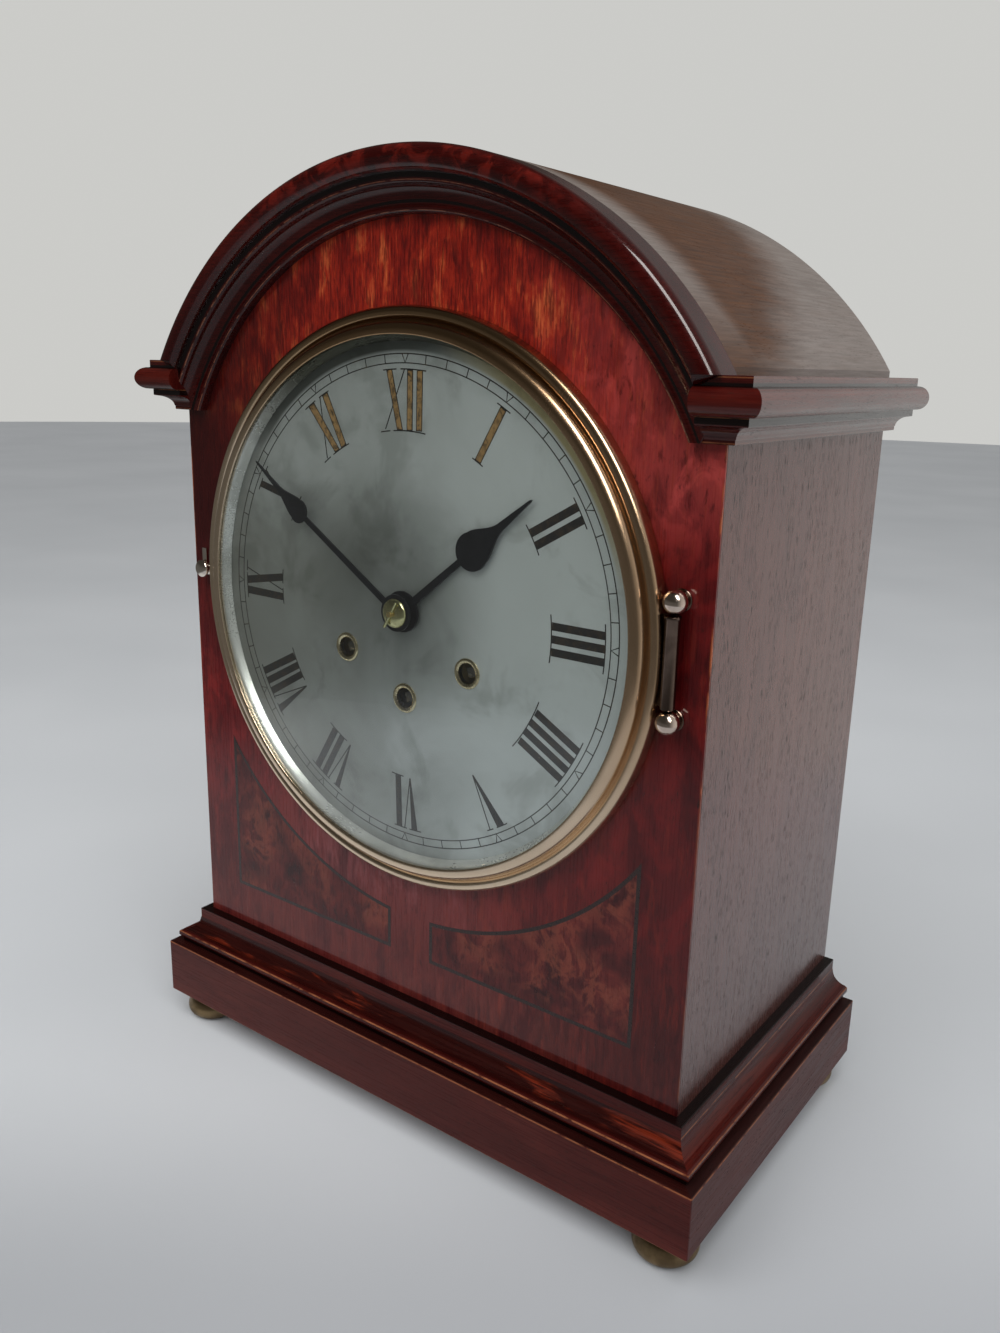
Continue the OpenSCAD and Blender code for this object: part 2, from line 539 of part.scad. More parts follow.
module rating_nut() {
    color([0.78, 0.64, 0.36]) translate([0, pend_y, bob_z - 21.2]) difference() {
        union() { cylinder(r = 4.6, h = 1.6, $fn = 48); translate([0, 0, 1.5]) cylinder(r = 2.8, h = 1.8, $fn = 48); }
        translate([0, 0, -1]) cylinder(r = 1.2 + fit, h = 8, $fn = 32);
    }
}

// ---------- strike and chime trains ----------
// disc with n lifting teeth, first at angle ph
module star2d(n, ph) {
    circle(r = 6.2, $fn = 48);
    for (i = [0:n - 1]) rotate(ph + i * 360 / n) polygon([[5.5, -1.5], [5.5, 1.5], [8.9, 0.5], [8.9, -0.5]]);
}
module second_wheel(p, b, f, stars, rear) {
    pivoted(p, 1.2, -52.4, -3.6, 0.9, 1.5);
    bar(p, 1.5, -0.4, rear);
    translate([p[0], 0, p[1]]) {
        dext(-52.3, -49.4) pinion2d(10, 0.6, dir(p, b) + 18);
        dext(-22, -20.5) wheel2d(60, 0.5, dir(p, f), 4);
        for (q = stars) dext(q[0] - 1.5, q[0] + 1.5) star2d(q[1], q[2]);
    }
}
module fly(p, b) {
    pivoted(p, 1, -52.4, -3.6, 0.9, 0.9);
    translate([p[0], 0, p[1]]) {
        dext(-23, -19.6) pinion2d(10, 0.5, dir(p, b) + 18);
        dext(-16, -6) translate([-9, -0.25]) square([18, 0.5]);
        dext(-16.5, -15.4) circle(r = 2.4, $fn = 32);
    }
}
module strike_wheel() { color([0.78, 0.64, 0.34]) second_wheel(D1, S, F1, [[hour_st, 8, 10]], 50.8); }
module chime_drum() { color([0.78, 0.64, 0.34]) second_wheel(D2, H, F2, [for (i = [0:3]) [stations[i], 5, 10 + i * 18]], 40.8); }
module strike_fly() { color([0.78, 0.64, 0.34]) fly(F1, D1); }
module chime_fly() { color([0.78, 0.64, 0.34]) fly(F2, D2); }

// ---------- hammers and gongs ----------
// straps from the back plate, rear straps with the outer bearings, spacers and hammer arbors
module hammer_side(rear) {
    dx = D2[0]; dz = dial_z + D2[1];
    difference() {
        ext(pb1, 2) union() { translate([53, HP[1] - 8]) square([18, 50]); }
        ext(pb1 - 1, 3) translate(HP) circle(r = 1.5, $fn = 32);
    }
    difference() {
        ext(rear, rear + 2) polygon([[dx - 6, dz - 6], [dx - 6, dz + 6], [dx + 6, dz + 6], [71, 188], [71, HP[1] - 8], [55, HP[1] - 8], [55, HP[1] + 10]]);
        ext(rear - 1, rear + 3) { translate(HP) circle(r = 1.5, $fn = 32); translate([dx, dz]) circle(r = 1.5 + fit, $fn = 32); }
    }
    ext(2, rear) { translate([68.4, 186]) circle(r = 2.2, $fn = 32); translate([68.4, 145]) circle(r = 2.2, $fn = 32); }
    ext(pb1, rear + 2) translate(HP) circle(r = 1.5, $fn = 32);
}
module hammer_frame() { color([0.74, 0.60, 0.32]) { hammer_side(39); mirror([1, 0, 0]) hammer_side(49); } }
hdir = [10 - HP[0], 108 - HP[1]];               // pivot to head
tail_v = [D2[0] - HP[0], dial_z + D2[1] - HP[1]];  // pivot to drum
module hammer(y) {
    tl = norm(tail_v) - 9.3;
    a = atan2(hdir[1], hdir[0]);
    color([0.75, 0.62, 0.34]) {
        ext(y - 3.2, y + 3.2) translate(HP) difference() { circle(r = 3, $fn = 32); circle(r = 1.5 + fit, $fn = 32); }
        ext(y - 0.7, y + 0.7) translate(HP) rotate(atan2(tail_v[1], tail_v[0])) translate([2.4, -0.9]) square([tl - 2.4, 1.8]);
        translate([HP[0], y, HP[1]]) rotate([0, -a, 0]) translate([2.4, 0, 0]) rotate([0, 90, 0]) cylinder(r = 0.9, h = norm(hdir) - 4, $fn = 24);
        translate([10, y, 108]) rotate([0, -(a + 90), 0]) translate([-5.2, 0, 0]) rotate([0, 90, 0]) cylinder(r = 3.2, h = 10.4, $fn = 32);
    }
}
module chime_hammer_1() { hammer(stations[0]); }
module chime_hammer_2() { hammer(stations[1]); }
module chime_hammer_3() { hammer(stations[2]); }
module chime_hammer_4() { hammer(stations[3]); }
module hour_hammer() { mirror([1, 0, 0]) hammer(hour_st); }
module gong_block() {
    color([0.20, 0.20, 0.21]) difference() {
        union() {
            translate([-120, 1, 92]) cube([16, 50, 16]);
            translate([-118, 12, 56]) cube([11, 28, 37]);
            translate([-125, 4, plinth_top + 10]) cube([28, 44, 6]);
        }
        for (y = concat(stations, [hour_st])) translate([-112, y, rod_z]) rotate([0, 90, 0]) cylinder(r = 1.2, h = 12, $fn = 32);
    }
}
module gong_rods() {
    color([0.62, 0.58, 0.48]) for (i = [0:4]) {
        y = concat(stations, [hour_st])[i];
        translate([-112, y, rod_z]) rotate([0, 90, 0]) cylinder(r = 1.2, h = 14, $fn = 32);
        translate([-98.5, y, rod_z]) rotate([0, 90, 0]) cylinder(r = 1.5, h = [150, 158, 166, 174, 200][i], $fn = 32);
    }
}

plinth();
base_moulding();
bottom_board();
case_sides();
front_panel();
roof();
arch_moulding();
cornices();
burr_panels();
feet();
back_frame();
seat_board();
back_door();
door_glass();
door_hinges();
door_leaves();
door_latch();
bezel();
dial_glass();
sight_ring();
bezel_hinge();
bezel_catch();
dial_plate();
winding_grommets();
dial_feet();
hour_hand();
minute_hand();
hand_collet();
cannon_pinion();
minute_wheel();
hour_wheel();
front_plate();
back_plate();
pillars();
going_barrel();
going_arbor();
intermediate_wheel();
centre_wheel();
third_wheel();
escape_wheel();
pallets();
pendulum();
rating_nut();
suspension();
strike_barrel();
strike_arbor();
strike_wheel();
strike_fly();
chime_barrel();
chime_arbor();
chime_drum();
chime_fly();
hammer_frame();
chime_hammer_1();
chime_hammer_2();
chime_hammer_3();
chime_hammer_4();
hour_hammer();
gong_block();
gong_rods();
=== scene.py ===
import bpy
import bmesh
import math
from mathutils import Matrix, Vector
from mathutils.geometry import tessellate_polygon


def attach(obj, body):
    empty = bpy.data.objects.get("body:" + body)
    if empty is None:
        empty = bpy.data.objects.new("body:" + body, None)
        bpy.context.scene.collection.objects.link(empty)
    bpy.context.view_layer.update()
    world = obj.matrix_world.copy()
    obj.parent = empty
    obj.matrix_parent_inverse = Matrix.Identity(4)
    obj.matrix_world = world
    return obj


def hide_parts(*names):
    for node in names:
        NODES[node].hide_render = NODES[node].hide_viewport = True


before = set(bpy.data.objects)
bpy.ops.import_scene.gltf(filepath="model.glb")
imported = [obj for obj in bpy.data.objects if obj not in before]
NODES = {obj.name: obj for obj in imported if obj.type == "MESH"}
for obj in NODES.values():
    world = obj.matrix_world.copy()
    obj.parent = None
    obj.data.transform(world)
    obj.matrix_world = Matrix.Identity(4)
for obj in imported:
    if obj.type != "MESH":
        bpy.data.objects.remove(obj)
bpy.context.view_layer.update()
MM = 0.001
scene = bpy.context.scene

# main sizes of the case, in millimetres
HW, FRONT, BACK = 140.0, -71.0, 88.0
PLINTH_TOP, BASE_TOP, CORNICE_Z = 42.7, 61.1, 323.1
ROOF_R, ROOF_T, ROOF_Z, DIAL_Z, BLOCK_X = 164.9, 8.0, 261.0, 245.9, 132.5
SPRING_Z = ROOF_Z + math.sqrt((ROOF_R - ROOF_T) ** 2 - HW ** 2)


def cosd(a):
    return math.cos(math.radians(a))


def sind(a):
    return math.sin(math.radians(a))


def arc(cx, cy, rx, ry, a0, a1, n):
    return [(cx + rx * cosd(a0 + (a1 - a0) * i / n), cy + ry * sind(a0 + (a1 - a0) * i / n)) for i in range(n + 1)]


# ---------------------------------------------------------------- node helpers
class Graph:
    """A material's node tree with short calls."""

    def __init__(self, name):
        self.mat = bpy.data.materials.new(name)
        self.mat.use_nodes = True
        self.nt = self.mat.node_tree
        self.nt.nodes.clear()
        self.out = self.nt.nodes.new("ShaderNodeOutputMaterial")

    def new(self, kind, **props):
        n = self.nt.nodes.new("ShaderNode" + kind)
        for k, v in props.items():
            setattr(n, k, v)
        return n

    def link(self, a, b):
        self.nt.links.new(a, b)

    def put(self, socket, value):
        if isinstance(value, bpy.types.NodeSocket):
            self.link(value, socket)
        else:
            socket.default_value = value

    def coords(self, scale=(1, 1, 1), loc=(0, 0, 0), rot=(0, 0, 0)):
        tc = self.new("TexCoord")
        m = self.new("Mapping")
        m.inputs["Location"].default_value = loc
        m.inputs["Rotation"].default_value = rot
        m.inputs["Scale"].default_value = scale
        self.link(tc.outputs["Object"], m.inputs["Vector"])
        return m.outputs["Vector"]

    def noise(self, vec, scale, detail=3.0, rough=0.55, distort=0.0):
        n = self.new("TexNoise")
        self.link(vec, n.inputs["Vector"])
        n.inputs["Scale"].default_value = scale
        n.inputs["Detail"].default_value = detail
        n.inputs["Roughness"].default_value = rough
        n.inputs["Distortion"].default_value = distort
        return n.outputs["Fac"]

    def voronoi(self, vec, scale, feature="F1", rand=1.0):
        n = self.new("TexVoronoi", feature=feature)
        self.link(vec, n.inputs["Vector"])
        n.inputs["Scale"].default_value = scale
        n.inputs["Randomness"].default_value = rand
        return n.outputs["Distance"]

    def math(self, op, a, b=0.5, c=None, clamp=False):
        n = self.new("Math", operation=op, use_clamp=clamp)
        self.put(n.inputs[0], a)
        self.put(n.inputs[1], b)
        if c is not None:
            self.put(n.inputs[2], c)
        return n.outputs[0]

    def ramp(self, fac, stops, interp="LINEAR"):
        n = self.new("ValToRGB")
        n.color_ramp.interpolation = interp
        el = n.color_ramp.elements
        while len(el) < len(stops):
            el.new(0.5)
        for e, (p, c) in zip(el, stops):
            e.position = p
            e.color = (c, c, c, 1) if isinstance(c, (int, float)) else (*c, 1)
        self.put(n.inputs["Fac"], fac)
        return n.outputs["Color"]

    def span(self, fac, a, b, lo=0.0, hi=1.0):
        n = self.new("MapRange", interpolation_type="SMOOTHSTEP")
        self.put(n.inputs["Value"], fac)
        n.inputs["From Min"].default_value = a
        n.inputs["From Max"].default_value = b
        n.inputs["To Min"].default_value = lo
        n.inputs["To Max"].default_value = hi
        return n.outputs["Result"]

    def mix(self, fac, a, b, mode="MIX"):
        n = self.new("Mix", data_type="RGBA", blend_type=mode)
        self.put(n.inputs["Factor"], fac)
        for key, v in ((6, a), (7, b)):
            if isinstance(v, bpy.types.NodeSocket):
                self.link(v, n.inputs[key])
            else:
                n.inputs[key].default_value = (*v, 1)
        return n.outputs[2]

    def axis(self, which):
        tc = self.new("TexCoord")
        s = self.new("SeparateXYZ")
        self.link(tc.outputs["Object"], s.inputs[0])
        return s.outputs[which]

    def radius(self, centre):
        """distance from a Y axis through centre (x, z)"""
        tc = self.new("TexCoord")
        m = self.new("VectorMath", operation="MULTIPLY_ADD")
        self.link(tc.outputs["Object"], m.inputs[0])
        m.inputs[1].default_value = (1, 0, 1)
        m.inputs[2].default_value = (-centre[0], 0, -centre[1])
        ln = self.new("VectorMath", operation="LENGTH")
        self.link(m.outputs[0], ln.inputs[0])
        return ln.outputs["Value"]

    def bump(self, height, strength, distance, normal=None):
        n = self.new("Bump")
        n.inputs["Strength"].default_value = strength
        n.inputs["Distance"].default_value = distance
        self.link(height, n.inputs["Height"])
        if normal is not None:
            self.link(normal, n.inputs["Normal"])
        return n.outputs["Normal"]

    def principled(self, **inputs):
        p = self.new("BsdfPrincipled")
        for k, v in inputs.items():
            key = k.replace("_", " ")
            if key == "Base Color" and not isinstance(v, bpy.types.NodeSocket):
                v = (*v, 1)
            self.put(p.inputs[key], v)
        self.link(p.outputs[0], self.out.inputs["Surface"])
        return p


AXES = {"X": 0, "Y": 1, "Z": 2}


def grain_scale(axis, along):
    s = [1.0, 1.0, 1.0]
    s[AXES[axis]] = along
    return tuple(s)


def wood(name, axis, stops, seed=0.0, pore=(0.02, 0.008, 0.006), pore_amount=0.6, mottle=0.35, rough=(0.22, 0.4),
         coat=0.6, coat_rough=0.1, spec=0.12, wear_and_shade=None, tweak=None, dash_len=0.15, cut=(0.59, 0.68)):
    """Polished wood with its grain along one axis: fibres, slow tone changes, short dark pores and a thin polish."""
    g = Graph(name)
    fine = g.coords(grain_scale(axis, 0.035), (seed, seed * 0.7, seed * 0.3))
    wide = g.coords(grain_scale(axis, 0.16), (seed * 0.4, seed, seed * 0.9))
    fibre = g.noise(fine, 1100, 5, 0.65)
    band = g.noise(wide, 120, 4, 0.55, 0.3)
    slow = g.noise(wide, 22, 3, 0.5, 0.8)
    fac = g.math("MULTIPLY_ADD", fibre, 0.45, g.math("MULTIPLY_ADD", band, 0.55 - mottle * 0.5, g.math("MULTIPLY", slow, mottle)))
    col = g.ramp(fac, stops)
    # pores: short dark dashes along the grain
    dash = g.coords(grain_scale(axis, dash_len), (seed + 3.1, seed, seed + 1.7))
    pores = g.span(g.noise(dash, 2100, 2, 0.5), *cut)
    keep = g.span(g.noise(wide, 260, 2, 0.5), 0.35, 0.6)
    pores = g.math("MULTIPLY", pores, g.math("MULTIPLY", keep, pore_amount))
    col = g.mix(pores, col, pore)
    if tweak:
        col = tweak(g, col)
    r = g.math("MULTIPLY_ADD", pores, 0.42, g.span(fibre, 0.3, 0.7, rough[0], rough[1]))
    # the wear masks: rubbed edges and grime, and on the mouldings also painted shade in the grooves
    if wear_and_shade:
        for mask, tone in wear_and_shade(g):
            col = g.mix(mask, col, tone)
    height = g.math("SUBTRACT", g.math("MULTIPLY", fibre, 0.4), pores)
    nrm = g.bump(height, 0.16, 0.00012)
    g.principled(Base_Color=col, Roughness=r, Normal=nrm, Coat_Weight=coat, Coat_Roughness=coat_rough, Specular_IOR_Level=spec)
    return g.mat


def painted_side_tone(g, col, painted_tones):
    """painted reflection and shade that deepen towards one side of the ring: (direction, from, to, tint)"""
    for (a, b), lo, hi, tint in painted_tones:
        d = g.math("MULTIPLY_ADD", g.axis(0), a, g.math("MULTIPLY_ADD", g.axis(2), b, -b * DIAL_Z * MM))
        col = g.mix(g.span(d, lo, hi), col, tint, "MULTIPLY")
    return col


def metal(name, color, dark, rough=(0.16, 0.3), tarnish=0.35, scale=90, seed=0.0, metallic=1.0, scratches=0.3, painted_tones=()):
    """Polished or dull metal with tarnish patches and fine scratches."""
    g = Graph(name)
    v = g.coords((1, 1, 1), (seed, seed, seed))
    patches = g.span(g.noise(v, scale, 5, 0.6, 0.4), 0.35, 0.75)
    specks = g.span(g.noise(v, scale * 9, 3, 0.6), 0.62, 0.72)
    t = g.math("MULTIPLY", g.math("MAXIMUM", patches, specks), tarnish, clamp=True)
    # the tones are painted reflection and shade towards one side
    col = painted_side_tone(g, g.mix(t, color, dark), painted_tones)
    sv = g.coords((1, 1, 0.05), (seed + 2, seed, 0), (0.5, 0.8, 0.3))
    scr = g.noise(sv, 2600, 2, 0.5)
    r = g.math("MULTIPLY_ADD", scr, scratches * 0.12, g.span(patches, 0, 1, rough[0], rough[1]))
    nrm = g.bump(scr, 0.05 * scratches, 0.0001)
    g.principled(Base_Color=col, Metallic=metallic, Roughness=r, Normal=nrm)
    return g.mat


# ---------------------------------------------------------------- mesh helpers
def finish_mesh(name, me, mats, smooth=None, bevel=None, seg=2, body="case", slot=None, limit=35):
    for m in mats:
        me.materials.append(m)
    bm = bmesh.new()
    bm.from_mesh(me)
    bmesh.ops.remove_doubles(bm, verts=bm.verts, dist=2e-7)
    bmesh.ops.dissolve_degenerate(bm, edges=bm.edges, dist=1e-8)
    bmesh.ops.recalc_face_normals(bm, faces=bm.faces)
    bm.to_mesh(me)
    bm.free()
    o = bpy.data.objects.new(name, me)
    scene.collection.objects.link(o)
    if smooth is not None:
        me.shade_smooth()
        me.set_sharp_from_angle(angle=math.radians(smooth))
    if bevel:
        b = o.modifiers.new("edges", "BEVEL")
        b.width = bevel * MM
        b.segments = seg
        b.limit_method = "ANGLE"
        b.angle_limit = math.radians(limit)
        b.harden_normals = True
        b.use_clamp_overlap = True
        if smooth is None:
            me.shade_smooth()
            me.set_sharp_from_angle(angle=math.radians(50))
    if body:
        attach(o, body)
    return o


def make(name, verts, faces, mats, index=None, **kw):
    me = bpy.data.meshes.new(name)
    me.from_pydata([(x * MM, y * MM, z * MM) for x, y, z in verts], [], faces)
    if index:
        for p, i in zip(me.polygons, index):
            p.material_index = i
    return finish_mesh(name, me, mats, **kw)


def ring_faces(rows, per, closed_rows, closed_profile=True):
    """quads between successive rows of per points"""
    f = []
    for i in range(rows if closed_rows else rows - 1):
        a, b = i * per, ((i + 1) % rows) * per
        for j in range(per if closed_profile else per - 1):
            k = (j + 1) % per
            f.append((a + j, b + j, b + k, a + k))
    return f


def lathe_data(prof, centre, axis="Y", n=96, base=0):
    """closed profile of (radius, height): height runs towards -Y on the Y axis, towards +Z on the Z axis"""
    v = []
    for i in range(n):
        a = 2 * math.pi * i / n
        for r, h in prof:
            if axis == "Y":
                v.append((centre[0] + r * math.sin(a), centre[1] - h, centre[2] + r * math.cos(a)))
            else:
                v.append((centre[0] + r * math.sin(a), centre[1] + r * math.cos(a), centre[2] + h))
    f = [tuple(base + q for q in face) for face in ring_faces(n, len(prof), True)]
    return v, f


def lathe(name, prof, centre, mats, axis="Y", n=96, more=(), **kw):
    """one revolved shape, repeated at each centre in more"""
    verts, faces = [], []
    for c in (centre,) + tuple(more):
        v, f = lathe_data(prof, c, axis, n, len(verts))
        verts += v
        faces += f
    return make(name, verts, faces, mats, **kw)


def carved(whole, taken):
    """what is left of one closed shape after another is cut out of it"""
    obs = []
    for nm, (v, f) in (("whole", whole), ("taken", taken)):
        me = bpy.data.meshes.new(nm)
        me.from_pydata(v, [], f)
        bm = bmesh.new()
        bm.from_mesh(me)
        bmesh.ops.remove_doubles(bm, verts=bm.verts, dist=1e-4)
        bmesh.ops.recalc_face_normals(bm, faces=bm.faces)
        bm.to_mesh(me)
        bm.free()
        obs.append(bpy.data.objects.new(nm, me))
        scene.collection.objects.link(obs[-1])
    m = obs[0].modifiers.new("cut", "BOOLEAN")
    m.operation = "DIFFERENCE"
    m.solver = "EXACT"
    m.object = obs[1]
    bpy.context.view_layer.update()
    ev = obs[0].evaluated_get(bpy.context.evaluated_depsgraph_get())
    me = ev.to_mesh()
    out = [tuple(q.co) for q in me.vertices], [tuple(q.vertices) for q in me.polygons]
    ev.to_mesh_clear()
    for o in obs:
        d = o.data
        bpy.data.objects.remove(o)
        bpy.data.meshes.remove(d)
    return out


def prism_data(outlines, y0, y1, base=0):
    """outlines: outer loop then holes, as (x, z); y0 < y1"""
    loops = [[Vector((x, z, 0)) for x, z in loop] for loop in outlines]
    flat = [p for loop in outlines for p in loop]
    tris = tessellate_polygon(loops)
    n = len(flat)
    v = [(x, y0, z) for x, z in flat] + [(x, y1, z) for x, z in flat]
    f = [tuple(base + q for q in t) for t in tris] + [tuple(base + n + q for q in reversed(t)) for t in tris]
    s = 0
    for loop in outlines:
        m = len(loop)
        for i in range(m):
            j = (i + 1) % m
            f.append(tuple(base + q for q in (s + i, s + j, n + s + j, n + s + i)))
        s += m
    return v, f


def prism(name, shapes, mats, **kw):
    """shapes: list of (outlines, y0, y1)"""
    verts, faces = [], []
    for outlines, y0, y1 in shapes:
        v, f = prism_data(outlines, y0, y1, len(verts))
        verts += v
        faces += f
    return make(name, verts, faces, mats, **kw)


def offset_loop(loop, d):
    """closed loop moved inwards by d (counter-clockwise loops)"""
    out = []
    n = len(loop)
    area = sum(loop[i][0] * loop[(i + 1) % n][1] - loop[(i + 1) % n][0] * loop[i][1] for i in range(n))
    sgn = 1 if area > 0 else -1
    for i in range(n):
        p0, p1, p2 = Vector(loop[i - 1]), Vector(loop[i]), Vector(loop[(i + 1) % n])
        a, b = (p1 - p0).normalized(), (p2 - p1).normalized()
        na, nb = Vector((-a.y, a.x)) * sgn, Vector((-b.y, b.x)) * sgn
        m = (na + nb).normalized()
        q = p1 + m * (d / max(0.3, m.dot(na)))
        out.append((q.x, q.y))
    return out


def circle(cx, cz, r, n=64):
    return [(cx + r * math.sin(2 * math.pi * i / n), cz + r * math.cos(2 * math.pi * i / n)) for i in range(n)]


def sweep(name, prof, stations, mats, index=None, closed=False, **kw):
    """profile (p, z) carried through stations, each a function p -> (x, y); index gives each run's material"""
    per = len(prof)
    verts = []
    for st in stations:
        for p, z in prof:
            x, y = st(p)
            verts.append((x, y, z))
    rows = len(stations)
    faces = ring_faces(rows, per, closed)
    idx = []
    runs = rows if closed else rows - 1
    for r in range(runs):
        idx += [index[r] if index else 0] * per
    if not closed:
        loops = [[Vector((p, z, 0)) for p, z in prof]]
        tris = tessellate_polygon(loops)
        for t in tris:
            faces.append(tuple(t))
            idx.append(index[0] if index else 0)
            faces.append(tuple((rows - 1) * per + q for q in reversed(t)))
            idx.append(index[-1] if index else 0)
    return make(name, verts, faces, mats, index=idx, **kw)


# ---------------------------------------------------------------- wood colours
PLUM = [(0.22, (0.022, 0.0022, 0.0026)), (0.42, (0.080, 0.0062, 0.0066)), (0.56, (0.135, 0.010, 0.0095)), (0.78, (0.21, 0.022, 0.015))]
DARK = [(0.22, (0.004, 0.0008, 0.0008)), (0.45, (0.018, 0.0019, 0.0016)), (0.62, (0.038, 0.0036, 0.0026)), (0.8, (0.075, 0.010, 0.006))]
SIDE = [(0.22, (0.034, 0.011, 0.009)), (0.42, (0.088, 0.030, 0.024)), (0.6, (0.125, 0.046, 0.036)), (0.8, (0.175, 0.075, 0.056))]
ROOFC = [(0.22, (0.012, 0.003, 0.002)), (0.45, (0.036, 0.009, 0.0048)), (0.62, (0.066, 0.018, 0.009)), (0.8, (0.12, 0.04, 0.02))]
PLNT = [(0.22, (0.010, 0.0022, 0.0022)), (0.42, (0.034, 0.0065, 0.006)), (0.6, (0.058, 0.012, 0.0105)), (0.8, (0.105, 0.028, 0.022))]
PLAIN = [(0.22, (0.10, 0.048, 0.025)), (0.45, (0.19, 0.095, 0.05)), (0.62, (0.26, 0.14, 0.078)), (0.8, (0.34, 0.2, 0.115))]
WORN = (0.30, 0.12, 0.055)


def line_mask(g, d, levels, width, lo, hi, scale=170):
    """thin broken lines where d is near one of the levels"""
    tot = None
    for lv in levels:
        q = g.math("ABSOLUTE", g.math("SUBTRACT", d, lv * MM), 0)
        m = g.span(q, width * 0.35 * MM, width * MM, 1.0, 0.0)
        tot = m if tot is None else g.math("MAXIMUM", tot, m)
    return g.math("MULTIPLY", tot, g.span(g.noise(g.coords(), scale, 4, 0.6), lo, hi))


def zone_mask(g, d, a, b, soft_w=0.5):
    """between a and b along d"""
    return g.math("MULTIPLY", g.span(d, (a - soft_w) * MM, a * MM), g.span(d, b * MM, (b + soft_w) * MM, 1.0, 0.0))


def edge_wear_and_shade(levels, width=0.42, amount=0.8, col=WORN, dark=(), flame=None, axis="X"):
    """light rubbed edges, black grime with painted shade in the grooves, and reddish patches in the hollow"""
    def f(g):
        z = g.axis(2)
        out = []
        # the grooves darkened: grime and painted shade
        for a, b, much in dark:
            out.append((g.math("MULTIPLY", zone_mask(g, z, a, b), much), (0.0022, 0.0012, 0.0012)))
        if flame:
            a, b, fcol, famount = flame
            n = g.noise(g.coords(grain_scale(axis, 0.24), (3, 1, 2)), 78, 4, 0.62, 0.9)
            grain = g.noise(g.coords(grain_scale(axis, 0.06), (5, 3, 2)), 900, 3, 0.6)
            m = g.math("MULTIPLY", g.span(n, 0.50, 0.62), g.span(grain, 0.36, 0.6))
            out.append((g.math("MULTIPLY", g.math("MULTIPLY", m, zone_mask(g, z, a, b, 1.2)), famount), fcol))
        out.append((g.math("MULTIPLY", line_mask(g, z, levels, width, 0.30, 0.52), amount), col))
        return out
    return f


def arch_wear_and_shade(g):
    r = g.radius((0, ROOF_Z * MM))
    # painted shade in the two grooves of the moulding
    dark = g.math("MULTIPLY", g.math("MAXIMUM", zone_mask(g, r, 153.2, 155.0, 0.4), zone_mask(g, r, 145.2, 146.0, 0.3)), 0.9)
    line = g.math("MULTIPLY", line_mask(g, r, (152.3, 142.4), 0.20, 0.40, 0.56), 0.62)
    red = g.math("MULTIPLY", g.span(g.noise(g.coords((1, 1, 1), (4, 1, 6)), 95, 4, 0.6, 0.8), 0.44, 0.62), g.math("MULTIPLY", g.span(g.axis(2), 0.392, 0.412), zone_mask(g, r, 155.5, 163.5, 1.0)))
    return [(g.math("MULTIPLY", red, 0.7), (0.120, 0.0085, 0.0050)), (dark, (0.0015, 0.0008, 0.0008)), (line, (0.26, 0.10, 0.055))]


